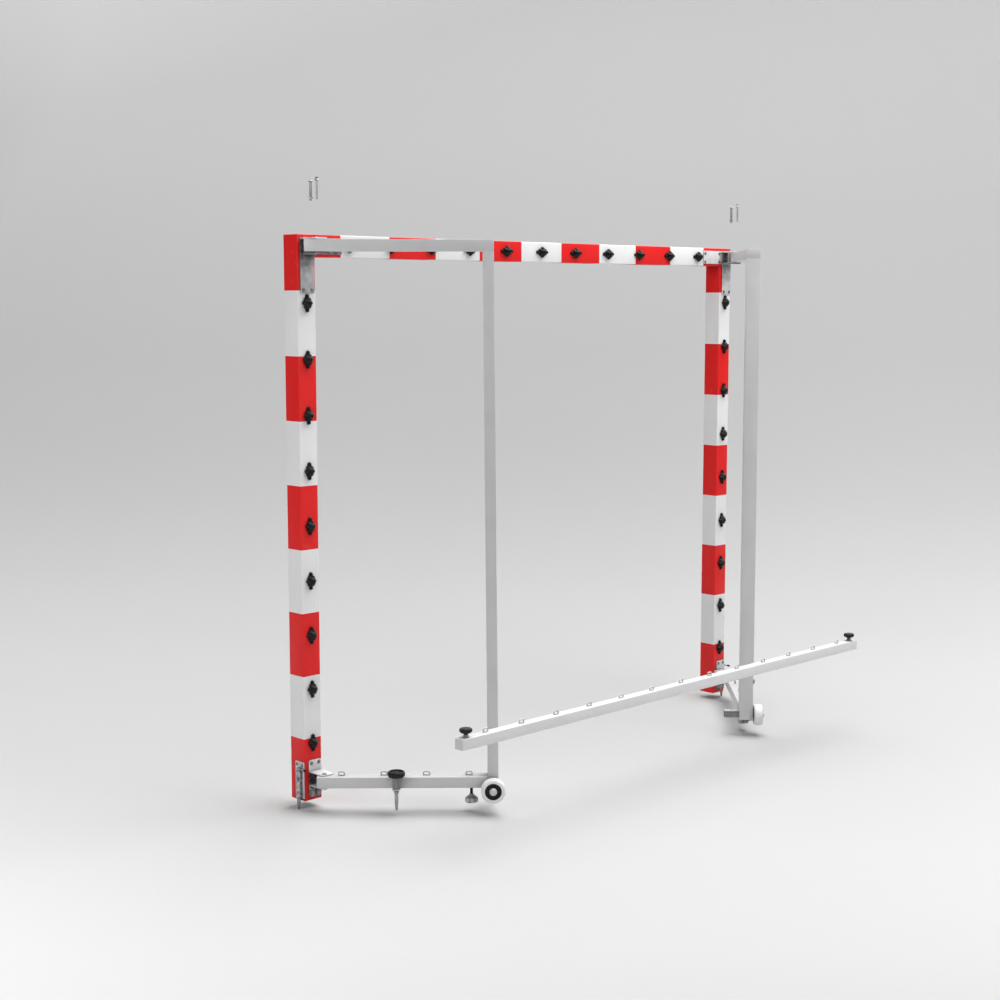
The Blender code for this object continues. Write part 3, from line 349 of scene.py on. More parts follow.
def plastic(name, level, high_level, rough, grain, gloss):
    """Moulded grey plastic with a fine grain and lighter edges, partly polish and partly a painted
    highlight.
    """
    nodes = Nodes(name)
    cloud = nodes.noise(25.0, 4.0)
    base = nodes.mix(nodes.span(cloud, 0.3, 0.7), grey(level, 0.0), grey(high_level, 0.0))
    polished_and_lit_edge = grey(min(1.0, high_level * 1.3 + 0.01), 0.0)
    # Lighter edges: partly polish, partly a painted highlight.
    base = nodes.mix(nodes.times(nodes.edges(0.0012, 0.8, 0.99), 0.4), base, polished_and_lit_edge)
    nodes.set(Base_Color=base, Roughness=nodes.span(cloud, 0.3, 0.7, *rough),
        Specular_IOR_Level=gloss)
    nodes.bump(nodes.noise(grain, 3.0), 0.15, 0.0003)
    return nodes.material


PAINT_POST = striped_paint("striped_paint_post", "Z", 0.79, 0.83)
PAINT_BAR = striped_paint("striped_paint_crossbar", "X", 0.775, 0.815)
TUBE_GRAIN = (6.0, 900.0, 900.0)
PLATE_GRAIN = (90.0, 90.0, 90.0)
WIRE_GRAIN = (150.0, 150.0, 150.0)
ALLOY = metal("grey_anodised_tube", grey(0.585), grey(0.605), (0.38, 0.41), 0.1, TUBE_GRAIN,
    shadow=0.4, gloss=0.45)
BAR_ALLOY = metal("pale_anodised_bar", grey(0.735), grey(0.76), (0.38, 0.41), 0.1, TUBE_GRAIN,
    shadow=0.4)
# One zinc in two copies: a painted shaded one on the left and a painted lit one on the right, each
# with painted shade towards its forks.
TOP_ZINC = {
    "left": metal("shaded_zinc_plate", grey(0.42), grey(0.54), (0.34, 0.46), 0.2, PLATE_GRAIN,
                  0.1, 0.9, 45.0, shade_by_height=(grey(0.07, 0.0), 2.006, 1.94, 2.062)),
    "right": metal("lit_zinc_plate", grey(0.7), grey(0.82), (0.34, 0.46), 0.2, PLATE_GRAIN,
                   0.1, 0.95, 45.0, shade_by_height=(grey(0.26, 0.0), 2.0, 1.9, 2.01), reach=0.034),
}
FORK_ZINC = metal("bright_fork_plate", grey(0.8), grey(0.9), (0.3, 0.42), 0.2, PLATE_GRAIN, 0.1,
    0.4, 60.0)
# Painted shade: the plate turns near-black below the upper fork plate, between and under the forks.
LOW_ZINC = metal("bright_zinc_plate", grey(0.7), grey(0.86), (0.3, 0.46), 0.3, PLATE_GRAIN, 0.1,
    0.97, 70.0, shade_by_height=(grey(0.05, 0.0), 0.105, 0.112, 1.0))
ANCHOR_ZINC = metal("pale_anchor_plate", grey(0.62), grey(0.8, 0.02), (0.3, 0.46), 0.3,
    PLATE_GRAIN, 0.1, 0.97, 70.0)
SLEEVE_ZINC = metal("mottled_zinc_sleeve", grey(0.1, 0.0), grey(0.6, 0.02), (0.28, 0.46), 0.4,
    PLATE_GRAIN, 0.2, 0.9, 75.0)
SPIKE_STEEL = metal("spike_steel", grey(0.32), grey(0.46), (0.3, 0.44), 0.5, PLATE_GRAIN, 0.1, 0.6,
    60.0)
SCREW = metal("bright_screw_steel", grey(0.26), grey(0.38), (0.22, 0.38), 0.8,
    (300.0, 300.0, 300.0), 0.0, 0.95)
SPRING = metal("spring_wire", grey(0.36), grey(0.48), (0.3, 0.45), 0.6, (200.0, 200.0, 200.0))
RING_STEEL = metal("ring_wire_steel", grey(0.32, 0.0), grey(0.44, 0.0), (0.35, 0.5), 0.3,
    WIRE_GRAIN)
BAR_RING = metal("pale_ring_wire", grey(0.58, 0.0), grey(0.7, 0.0), (0.35, 0.5), 0.2, WIRE_GRAIN,
    shadow=0.6)
STUB_STEEL = metal("stub_steel", grey(0.23), grey(0.37, 0.02), (0.35, 0.5), 0.5,
    (20.0, 320.0, 20.0), 0.3, 0.6)
FOOT_GREY = metal("foot_grey_metal", grey(0.18, 0.0), grey(0.62, -0.01), (0.3, 0.45), 0.3,
    (80.0, 80.0, 80.0), 0.1, 0.7, 95.0)
HUB_GREY = metal("hub_cap_metal", grey(0.58, 0.0), grey(0.66, 0.0), (0.3, 0.4), 0.3,
    (120.0, 120.0, 120.0), 0.1, 0.5, 60.0)
WELD = metal("weld_bead", grey(0.46), grey(0.58), (0.35, 0.5), 0.6, (400.0, 60.0, 60.0), 0.4, 0.9)
BLACK = plastic("black_moulded_plastic", 0.009, 0.014, (0.26, 0.38), 900.0, 0.22)
HOOK_BLACK = plastic("black_hook_plastic", 0.005, 0.009, (0.24, 0.34), 900.0, 0.2)
WHITE_TYRE = plastic("white_wheel_plastic", 0.76, 0.8, (0.35, 0.5), 600.0, 0.4)
WHEEL_FACE = plastic("pale_grey_wheel_face", 0.8, 0.84, (0.4, 0.55), 600.0, 0.4)

# Material slots of brackets, side frames and the ground bar
# Slot 3 holds black plastic, put as painted shade in holes and open ends.
FITTINGS, WELDS, OPENING_SHADE, STEEL = 1, 2, 3, 4


# Mesh building

def move(x, y, z):
    return Matrix.Translation((x, y, z))


def turn(axis, degrees):
    return Matrix.Rotation(math.radians(degrees), 4, axis)


def absorb(target, source, matrix=None, slot=0):
    """Add a finished shell to a piece's mesh, moved by a matrix."""
    bmesh.ops.recalc_face_normals(source, faces=source.faces)
    for face in source.faces:
        face.material_index = slot
    if matrix is not None:
        source.transform(matrix)
        if matrix.determinant() < 0:
            bmesh.ops.reverse_faces(source, faces=source.faces)
    shell = bpy.data.meshes.new("shell")
    source.to_mesh(shell)
    source.free()
    target.from_mesh(shell)
    bpy.data.meshes.remove(shell)


def round_edges(bm, edges, width, segments=2):
    bmesh.ops.bevel(bm, geom=edges, offset=width, segments=segments, affect="EDGES", profile=0.5)


def bridge(bm, lower, upper):
    """Faces between two closed loops of as many corners."""
    for index in range(len(lower)):
        after = (index + 1) % len(lower)
        bm.faces.new((lower[index], lower[after], upper[after], upper[index]))


def loft(bm, loops, closed=False):
    """Faces from loop to loop, and either round to the first or over both ends."""
    for lower, upper in zip(loops, loops[1:]):
        bridge(bm, lower, upper)
    if closed:
        bridge(bm, loops[-1], loops[0])
    else:
        bm.faces.new(loops[0])
        bm.faces.new(loops[-1])


def add_box(target, low, high, edge=0.001, segments=2, matrix=None, slot=0, shear=0.0):
    """A box with rounded edges; shear moves its x by that share of the height above low."""
    bm = bmesh.new()
    bmesh.ops.create_cube(bm, size=1.0)
    bmesh.ops.scale(bm, vec=Vector(high) - Vector(low), verts=bm.verts)
    bmesh.ops.translate(bm, vec=(Vector(high) + Vector(low)) / 2, verts=bm.verts)
    round_edges(bm, bm.edges[:], edge, segments)
    for corner in bm.verts:
        corner.co.x -= shear * (corner.co.z - low[2])
    absorb(target, bm, matrix, slot)


def add_outline(target, points, low, high, edge=0.0008, matrix=None, slot=0):
    """An outline in XY, extruded along Z, its rims rounded."""
    bm = bmesh.new()
    face = bm.faces.new([bm.verts.new((x, y, low)) for x, y in points])
    grown = bmesh.ops.extrude_face_region(bm, geom=[face])
    moved = [item for item in grown["geom"] if isinstance(item, bmesh.types.BMVert)]
    bmesh.ops.translate(bm, vec=(0.0, 0.0, high - low), verts=moved)
    rims = [item for item in bm.edges if abs(item.verts[0].co.z - item.verts[1].co.z) < 1e-7]
    round_edges(bm, rims, edge)
    absorb(target, bm, matrix, slot)


def with_spokes(points, middle, spokes):
    """Offsets from a middle point to an outline's points and to its edge in even directions."""
    offsets = [Vector(point) - middle for point in points]
    found = list(offsets)
    for step in range(spokes):
        angle = 2 * math.pi * (step + 0.37) / spokes
        ray = Vector((math.cos(angle), math.sin(angle)))
        for start, end in zip(offsets, offsets[1:] + offsets[:1]):
            side = end - start
            across = ray.x * side.y - ray.y * side.x
            if abs(across) < 1e-12:
                continue
            reach = (start.x * side.y - start.y * side.x) / across
            share = (start.x * ray.y - start.y * ray.x) / across
            if reach > 0.0 and 0.02 < share < 0.98:
                found.append(ray * reach)
                break
    return sorted(found, key=lambda offset: math.atan2(offset.y, offset.x))


def add_bored(target, points, centre, radius, low, high, edge, slot=0):
    """An outline in XY with a round hole through it, extruded along Z, its outer rims rounded."""
    bm = bmesh.new()
    middle = Vector(centre)
    offsets = with_spokes(points, middle, 24)
    loops = []
    for z in (low, high):
        for places in (offsets, [offset.normalized() * radius for offset in offsets]):
            loops.append([bm.verts.new((*(middle + place), z)) for place in places])
    outer_low, hole_low, outer_high, hole_high = loops
    bridge(bm, outer_low, hole_low)
    bridge(bm, hole_high, outer_high)
    bridge(bm, outer_high, outer_low)
    bridge(bm, hole_low, hole_high)
    rims = [bm.edges.get((loop[index - 1], loop[index])) for loop in (outer_low, outer_high)
        for index in range(len(loop))]
    round_edges(bm, rims, edge)
    absorb(target, bm, None, slot)


def add_turned(target, profile, segments=32, matrix=None, slot=0, ring=False):
    """A profile of (radius, z) points turned about Z."""
    bm = bmesh.new()
    corners = [bm.verts.new((radius, 0.0, z)) for radius, z in profile]
    pairs = list(zip(corners, corners[1:]))
    if ring:
        pairs.append((corners[-1], corners[0]))
    edges = [bm.edges.new(pair) for pair in pairs]
    bmesh.ops.spin(bm, geom=corners + edges, angle=2 * math.pi, steps=segments,
        axis=(0.0, 0.0, 1.0))
    bmesh.ops.remove_doubles(bm, verts=bm.verts, dist=0.000005)
    absorb(target, bm, matrix, slot)


def add_rod(target, radius, low, high, segments=24, matrix=None, slot=0):
    """A plain rod along Z."""
    profile = [(0.0, low), (radius, low), (radius, high), (0.0, high)]
    add_turned(target, profile, segments, matrix, slot)


def add_disc(target, radius, height, segments, matrix, slot):
    add_turned(target, [(0.0, height), (radius, height)], segments, matrix, slot)


def add_wire(target, points, radius, sides=12, matrix=None, slot=0, closed=False):
    """A round wire along the points."""
    bm = bmesh.new()
    places = [Vector(point) for point in points]
    count = len(places)
    normal = None
    loops = []
    for index, place in enumerate(places):
        before = places[index - 1] if index or closed else place
        after = places[(index + 1) % count] if index < count - 1 or closed else place
        ahead = (after - before).normalized()
        if normal is None:
            helper = Vector((0, 0, 1)) if abs(ahead.z) < 0.9 else Vector((1, 0, 0))
            normal = ahead.cross(helper).normalized()
        normal = (normal - ahead * normal.dot(ahead)).normalized()
        other = ahead.cross(normal)
        loop = []
        for step in range(sides):
            angle = 2 * math.pi * step / sides
            reach = normal * math.cos(angle) + other * math.sin(angle)
            loop.append(bm.verts.new(place + reach * radius))
        loops.append(loop)
    loft(bm, loops, closed)
    absorb(target, bm, matrix, slot)


def add_bead(target, start, end, radius):
    """A straight weld bead."""
    add_wire(target, [start, end], radius, 8, slot=WELDS)


def add_lobed(target, levels, lobes, depth, per_lobe, matrix=None):
    """A hand knob lofted through levels of (height, radius, share of the lobes' depth)."""
    bm = bmesh.new()
    count = per_lobe * lobes
    loops = []
    for height, radius, share in levels:
        loop = []
        for index in range(count):
            angle = 2 * math.pi * index / count
            wave = (1 - math.cos(lobes * angle)) / 2
            reach = radius - depth * share * wave ** 1.6
            loop.append(bm.verts.new((reach * math.cos(angle), reach * math.sin(angle), height)))
        loops.append(loop)
    loft(bm, loops)
    absorb(target, bm, matrix)


def arc(centre, radius, start, sweep, steps):
    """Points on a circle about an (x, y) centre, from a start angle on."""
    angles = [start + sweep * step / steps for step in range(steps + 1)]
    return [(centre[0] + radius * math.cos(angle), centre[1] + radius * math.sin(angle))
        for angle in angles]


def spiral(radii, low, high, turns, per_turn):
    """Points wound up from low to high, from the first radius to the second."""
    count = int(turns * per_turn)
    points = []
    for index in range(count + 1):
        share = index / count
        angle = 2 * math.pi * turns * share
        radius = radii[0] + (radii[1] - radii[0]) * share
        points.append((radius * math.cos(angle), radius * math.sin(angle),
            low + (high - low) * share))
    return points


def round_corner(before, here, after, radius, steps):
    """The points that round the corner here, between its neighbours."""
    here = Vector(here)
    before, after = Vector(before) - here, Vector(after) - here
    cut = min(radius, before.length * 0.45, after.length * 0.45)
    start = here + before.normalized() * cut
    end = here + after.normalized() * cut
    shares = [step / steps for step in range(steps + 1)]
    return [start.lerp(here, share).lerp(here.lerp(end, share), share) for share in shares]


def rounded(points, radius, steps=4):
    """A profile to turn, its corners rounded except its ends and those marked False."""
    result = [points[0]]
    for before, (r, z, *marks), after in zip(points, points[1:], points[2:]):
        if marks:
            result.append((r, z))
        else:
            spots = round_corner(before[:2], (r, z), after[:2], radius, steps)
            result += [(max(0.0, spot.x), spot.y) for spot in spots]
    return result + [points[-1]]


def rounded_outline(corners, radius, steps=4):
    """A closed outline with its corners rounded."""
    result = []
    for index, here in enumerate(corners):
        after = corners[(index + 1) % len(corners)]
        spots = round_corner(corners[index - 1], here, after, radius, steps)
        result += [tuple(spot) for spot in spots]
    return result


def rectangle(low_x, high_x, low_y, high_y):
    return [(low_x, low_y), (high_x, low_y), (high_x, high_y), (low_x, high_y)]


def make_mesh(name, bm, materials, sharp=None):
    """A smooth mesh whose edges are sharp from an angle in degrees on."""
    mesh = bpy.data.meshes.new(name)
    bm.to_mesh(mesh)
    bm.free()
    for material in materials:
        mesh.materials.append(material)
    mesh.shade_smooth()
    if sharp:
        mesh.set_sharp_from_angle(angle=math.radians(sharp))
    return mesh


def finish(name, bm, materials, node, body=None, matrix=None, sharp=32, bend=None):
    """Turn a bmesh into a shown piece in a node's place, on its body.

    Where no body is given, it has the node's name. A bend is (other body, its end's place,
    the body's end's place), given for a piece between two bodies; its values are not used, and such
    a piece goes on no body, its place baked into its mesh.
    """
    body = body or node
    piece = link(bpy.data.objects.new(name, make_mesh(name, bm, materials, sharp)))
    if matrix is not None:
        piece.matrix_world = matrix
    if bend:
        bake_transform(piece)
    else:
        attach(piece, body)
    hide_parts(node)


GOAL = move(0.0, REAR_Y, FOOT_Z)
TO_REAR = turn("X", -90.0)
FLAT = Matrix(((1, 0, 0, 0), (0, 0, 1, 0), (0, 1, 0, 0), (0, 0, 0, 1)))


def from_side(side, inset):
    """The x at a distance inwards from a side's outermost face."""
    return SIDES[side] * (HALF_WIDTH - inset)


def hinge_matrix(side):
    """The side frame's own coordinates: X along the arms, Z up from the posts' feet."""
    axis = Vector(JOINTS[f"wheel_spin_{side}"]["axis"])
    angle = math.atan2(abs(axis.x), -SIDES[side] * abs(axis.y))
    place = move(from_side(side, HINGE_INSET), REAR_Y + HINGE_BACK, FOOT_Z)
    return place @ Matrix.Rotation(angle, 4, "Z")


def add_screw(target, place, radius=0.0055, height=0.003):
    """A pan-head screw with a six-sided socket, standing out along +Z."""
    socket = radius * 0.42
    profile = [(socket, height * 0.35), (socket, height * 0.98), (radius * 0.7, height),
        (radius * 0.92, height * 0.72), (radius, height * 0.35), (radius, -0.0005)]
    add_turned(target, profile, 24, place, FITTINGS)
    add_disc(target, socket * 1.02, height * 0.35, 6, place, FITTINGS)
    washer = [(radius * 1.05, -0.0002), (radius * 1.35, -0.0002), (radius * 1.35, 0.0005),
        (radius * 1.3, 0.0008), (radius * 1.05, 0.0008)]
    add_turned(target, washer, 24, place, FITTINGS, ring=True)


# Posts and crossbar

def make_goal_frame():
    for node, paint in (("post_left", PAINT_POST), ("post_right", PAINT_POST),
            ("crossbar", PAINT_BAR)):
        bm = bmesh.new()
        add_box(bm, *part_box(node), PAINT_EDGE, 4)
        finish("painted_" + node, bm, [paint], node, "goal_frame")


# Net hooks

def hook_bmesh():
    """A net hook standing out along +Z, its long tab along Y."""
    bm = bmesh.new()
    tab = (arc((0.0, TAB_REACH), TAB_HALF_WIDTH, 0.0, math.pi, 8)
        + arc((0.0, -TAB_REACH), TAB_HALF_WIDTH, math.pi, math.pi, 8))
    add_outline(bm, tab, 0.0, 0.004, 0.0009)
    top = [(0.0, 0.004), (0.0062, 0.004, False), (0.0058, 0.0085), (0.0, 0.0095)]
    knuckle = rounded(top, 0.002)
    for end in (-TAB_REACH, TAB_REACH):
        add_turned(bm, knuckle, 20, move(0.0, end, 0.0))
    body = rounded([(0.0, 0.0), (0.016, 0.0, False), (0.016, 0.007), (0.011, 0.007),
        (0.011, 0.0115), (0.0, 0.0115)], 0.0016, 3)
    add_turned(bm, body, 28)
    head = [(0.0012, 0.0212, 1.0), (0.002, 0.022, 1.0), (0.006, 0.0221, 1.0), (0.008, 0.021, 1.0),
        (0.0108, 0.0192, 0.9), (0.0144, 0.0166, 0.8), (0.0184, 0.0132, 0.6), (0.0215, 0.0098, 0.3),
        (0.0234, 0.0064, 0.0), (0.024, 0.0034, 0.0)]
    add_lobed(bm, head, 6, 0.0056, 8)
    return bm


def make_hooks():
    mesh = make_mesh("net_hook", hook_bmesh(), [HOOK_BLACK], 32)
    for node in frame["nodes"]:
        if not node.startswith("hook_"):
            continue
        low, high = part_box(node)
        middle = (low + high) / 2
        spin = turn("Z", 90.0 if "crossbar" in node else 0.0)
        hook = link(bpy.data.objects.new("net_" + node, mesh))
        hook.matrix_world = move(middle.x, low.y, middle.z) @ TO_REAR @ spin
        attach(hook, "goal_frame")
        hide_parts(node)


# Brackets

def fork_outline(near, far, tip, radius):
    """A fork plate seen from above, its two free corners rounded."""
    corners = [(near, FORK_ROOT), (far, FORK_ROOT)]
    corners += arc((far - radius, tip - radius), radius, 0.0, math.pi / 2, 6)
    return corners + arc((near + radius, tip - radius), radius, math.pi / 2, math.pi / 2, 6)


def add_fork_beads(target, near, far, faces, radius):
    """Weld beads where a fork plate's two faces meet the plate behind it."""
    for face in faces:
        add_bead(target, (near + 0.001, FORK_BEAD_Y, face), (far - 0.001, FORK_BEAD_Y, face),
            radius)


def make_top_bracket(side):
    foot, low_fork, top = TOP_PLATE_FOOT, TOP_FORK[0], TOP_FORK[1] + TOP_FORK_PLATE
    inset = TOP_PLATE_INSET[side]
    end = inset + TOP_PLATE_WIDTH
    plate = [(inset, foot), (end, foot), (end, low_fork - TOP_CHAMFER),
        (end + TOP_CHAMFER, low_fork), (TOP_LEG_LENGTH, low_fork), (TOP_LEG_LENGTH, top),
        (inset, top)]
    corners = [(from_side(side, place), z) for place, z in plate]
    bm = bmesh.new()
    add_outline(bm, rounded_outline(corners, 0.004), *PLATE_FACES, PLATE_EDGE, FLAT)
    near, far = sorted((from_side(side, FORK_NEAR), from_side(side, TOP_FORK_FAR)))
    outline = fork_outline(near, far, TOP_FORK_TIP, 0.006)
    hinge_x = from_side(side, HINGE_INSET)
    materials = [TOP_ZINC[side], SCREW, WELD, BLACK, FORK_ZINC, STUB_STEEL]
    # The lower fork plate takes the darker stub steel as painted shade under the arm; the upper one
    # takes the fork zinc.
    for low, fork in zip(TOP_FORK, (STUB_STEEL, FORK_ZINC)):
        faces = (low, low + TOP_FORK_PLATE)
        slot = materials.index(fork)
        add_bored(bm, outline, (hinge_x, HINGE_BACK), FORK_BORE, *faces, 0.0008, slot)
        add_fork_beads(bm, near, far, faces, 0.0018)
    hole = move(hinge_x, LOCK_BOLT_Y, top)
    rim = rectangle(LOCK_HOLE, LOCK_HOLE + 0.0012, -0.0002, 0.0003)
    add_turned(bm, rim, 24, hole, WELDS, ring=True)
    # The lock hole is painted shade: a dark disc, not a cut.
    add_disc(bm, LOCK_HOLE, 0.00012, 24, hole, OPENING_SHADE)
    row = (end + TOP_CHAMFER + SCREW_INSET, TOP_LEG_LENGTH - SCREW_INSET)
    spots = [(place, z) for place in row for z in (low_fork + 0.008, top - SCREW_INSET)]
    spots += [(place, foot + SCREW_INSET) for place in (inset + SCREW_INSET, end - SCREW_INSET)]
    for place, z in spots:
        add_screw(bm, move(from_side(side, place), PLATE_FACES[1], z) @ TO_REAR)
    finish(f"corner_bracket_{side}", bm, materials, f"top_bracket_{side}",
        "goal_frame", GOAL)


def make_bottom_bracket(side):
    inset = LOW_PLATE_INSET[side]
    near, far = sorted((from_side(side, inset), from_side(side, inset + LOW_PLATE_WIDTH)))
    bm = bmesh.new()
    corners = rounded_outline(rectangle(near, far, *LOW_PLATE), 0.01, 6)
    add_outline(bm, corners, *PLATE_FACES, PLATE_EDGE, FLAT)
    fork = sorted((from_side(side, FORK_NEAR), from_side(side, LOW_FORK_FAR)))
    materials = [LOW_ZINC, SCREW, WELD, FORK_ZINC]
    slot = materials.index(FORK_ZINC)
    for low in LOW_FORK:
        faces = (low, low + LOW_FORK_PLATE)
        add_outline(bm, fork_outline(*fork, LOW_FORK_TIP, 0.012), *faces, 0.0007, None, slot)
        add_fork_beads(bm, *fork, faces, 0.0016)
    axis = move(from_side(side, HINGE_INSET), HINGE_BACK, 0.0)
    lower, upper = LOW_FORK[0], LOW_FORK[1] + LOW_FORK_PLATE
    cap = rounded([(0.0, upper + 0.003), (0.0088, upper + 0.003), (0.0095, upper + 0.0018),
        (0.0095, upper - 0.0002)], 0.001)
    add_turned(bm, cap, 28, axis, FITTINGS)
    nut = [(0.0, lower - 0.003), (0.0095, lower - 0.003), (0.0095, lower)]
    add_turned(bm, nut, 6, axis, FITTINGS)
    add_rod(bm, 0.011, lower + LOW_FORK_PLATE, BOTTOM_ARM[0] - 0.0003, 28, axis, FITTINGS)
    add_rod(bm, 0.011, BOTTOM_ARM[1] + 0.0003, LOW_FORK[1], 28, axis, FITTINGS)
    add_rod(bm, 0.006, lower, upper, 20, axis, FITTINGS)
    for x in (near + SCREW_INSET, far - SCREW_INSET):
        add_screw(bm, move(x, PLATE_FACES[1], LOW_PLATE[1] - SCREW_INSET) @ TO_REAR)
    finish(f"hinge_bracket_{side}", bm, materials, f"bottom_bracket_{side}",
        "goal_frame", GOAL)


# Side frames and what they carry

def add_ring(target, x, base):
    """A net ring, closed along the surface that it stands on, with a weld at each foot."""
    half = RING_LENGTH / 2 - RING_WIRE
    top = base + RING_HEIGHT - RING_WIRE
    bends = (arc((RING_CORNER - half, top - RING_CORNER), RING_CORNER, math.pi, -math.pi / 2, 6)
        + arc((half - RING_CORNER, top - RING_CORNER), RING_CORNER, math.pi / 2, -math.pi / 2, 6))
    foot = base - 0.001
    bow = [(along, 0.0, z) for along, z in [(-half, foot), *bends, (half, foot)]]
    add_wire(target, bow, RING_WIRE, 12, move(x, 0.0, 0.0), FITTINGS)
    floor = base + RING_WIRE * 0.6
    add_wire(target, [(x - half, 0.0, floor), (x + half, 0.0, floor)], RING_WIRE, slot=FITTINGS)
    weld = [(RING_WIRE + 0.0012, 0.0), (RING_WIRE + 0.0008, 0.0007), (RING_WIRE * 0.9, 0.0014)]
    for end in (-half, half):
        add_turned(target, weld, 16, move(x + end, 0.0, base), FITTINGS)


def add_frame_tubes(bm, half, deep):
    """The upright and the two arms, their welds and painted shade in their open ends."""
    add_box(bm, (BOTTOM_REACH - deep, -half, TUBE_FOOT),
        (BOTTOM_REACH + deep, half, TOP_ARM[0] + 0.0012), TUBE_EDGE, 3, shear=LEAN)
    arm = rectangle(-TOP_TAIL, TOP_REACH + deep, -half, half)
    add_bored(bm, rounded_outline(arm, 0.002, 3), (0.0, 0.0), ARM_BORE, *TOP_ARM, 0.0013)
    add_box(bm, (-BOTTOM_TAIL, -half + 0.0002, BOTTOM_ARM[0]),
        (BOTTOM_REACH - deep + 0.004, half - 0.0002, BOTTOM_ARM[1]), TUBE_EDGE, 3)
    low = BOTTOM_ARM[0]
    joint = BOTTOM_REACH - deep - LEAN * (low - TUBE_FOOT)
    section = rectangle(0.0008 - half, half - 0.0008, *BOTTOM_ARM)
    loop = [(joint - LEAN * (z - low), y, z) for y, z in rounded_outline(section, 0.002, 3)]
    add_wire(bm, loop, 0.0016, 8, slot=WELDS, closed=True)
    corner, under = TOP_REACH - deep + 0.0003, TOP_ARM[0] - 0.0002
    add_bead(bm, (corner, -half + 0.003, under), (corner, half - 0.003, under), 0.0016)
    # Painted shade: dark sheets in the arms' open ends.
    for (low, high), tail in ((TOP_ARM, TOP_TAIL), (BOTTOM_ARM, BOTTOM_TAIL)):
        add_box(bm, (-tail - 0.0012, -half + 0.003, low + 0.003),
            (-tail + 0.002, half - 0.003, high - 0.003), slot=OPENING_SHADE)
    # Painted shade: a dark sheet in the upright's open foot.
    add_box(bm, (BOTTOM_REACH - deep + 0.002, -half + 0.002, TUBE_FOOT - 0.002),
        (BOTTOM_REACH + deep - 0.002, half - 0.002, TUBE_FOOT + 0.002), slot=OPENING_SHADE)


def add_stub(bm, half, out):
    """The channel that carries the ground bar, with the hole of the bar's knob."""
    x = BOTTOM_REACH - LEAN * STUB_RISE
    start, tip = -out * (half - 0.001), -out * (half + STUB_LENGTH)
    near, far = sorted((start, tip))
    # The thin top strip takes the paler tube alloy as a painted highlight on the lit top face.
    for low, high, slot, edge in ((0.05, 0.0605, STEEL, 0.0012), (0.0695, 0.0788, STEEL, 0.0012),
            (0.0782, STUB_TOP, 0, 0.0005)):
        add_box(bm, (x - 0.015, near, low), (x + 0.015, far, high), edge, slot=slot)
    add_box(bm, (x - 0.0105, near + 0.0004, 0.056), (x + 0.015, far - 0.0004, 0.074), slot=STEEL)
    # Painted shade: a dark sheet in the channel's open end.
    near, far = sorted((tip - out * 0.0006, tip + out * 0.002))
    add_box(bm, (x - 0.0145, near, 0.0505), (x + 0.0145, far, 0.0795), 0.0008, slot=OPENING_SHADE)
    hole = move(x, -out * (half + STUB_LENGTH / 2), STUB_TOP)
    rim = [(0.0045, 0.0), (0.0058, 0.0002), (0.0058, -0.001), (0.0045, -0.001)]
    add_turned(bm, rim, 20, hole, WELDS, ring=True)
    # The knob's hole is painted shade: a dark disc, not a cut.
    add_disc(bm, 0.0046, 0.0001, 20, hole, OPENING_SHADE)


def add_anchor_lug(bm, half, out):
    """The lug and the bush that guide the ground anchor."""
    near, far = sorted((out * (half - 0.001), out * (ANCHOR_OUT + 0.01)))
    add_box(bm, (ANCHOR_REACH - 0.015, near, LUG[0]), (ANCHOR_REACH + 0.015, far, LUG[1]), 0.0008)
    seam = out * (half + 0.0006)
    add_bead(bm, (ANCHOR_REACH - 0.014, seam, LUG[1]), (ANCHOR_REACH + 0.014, seam, LUG[1]),
        0.0014)
    low, top = LUG[0], LUG[1] + 0.0004
    bush = rounded([(0.0074, BUSH_FOOT), (0.0088, BUSH_FOOT), (0.0098, low - 0.0035),
        (0.0084, low - 0.003), (0.0084, low - 0.002), (0.01, low - 0.0015), (0.01, top),
        (0.0074, top)], 0.0005)
    add_turned(bm, bush, 28, move(ANCHOR_REACH, out * ANCHOR_OUT, 0.0), STEEL, ring=True)


def make_side_frame(side):
    out = -SIDES[side]
    half = TUBE_WIDE / 2
    bm = bmesh.new()
    add_frame_tubes(bm, half, TUBE_DEEP / 2)
    add_stub(bm, half, out)
    for index in range(FRAME_RINGS):
        add_ring(bm, FRAME_RING_START + index * FRAME_RING_PITCH, BOTTOM_ARM[1])
    add_anchor_lug(bm, half, out)
    nut = rectangle(0.0062, 0.0125, BOTTOM_ARM[0] - 0.0004, BOTTOM_ARM[0] + 0.001)
    add_turned(bm, nut, 24, move(FOOT_REACH, 0.0, 0.0), WELDS, ring=True)
    finish(f"welded_frame_{side}", bm, [ALLOY, RING_STEEL, WELD, BLACK, STUB_STEEL],
        f"side_frame_{side}", matrix=hinge_matrix(side))


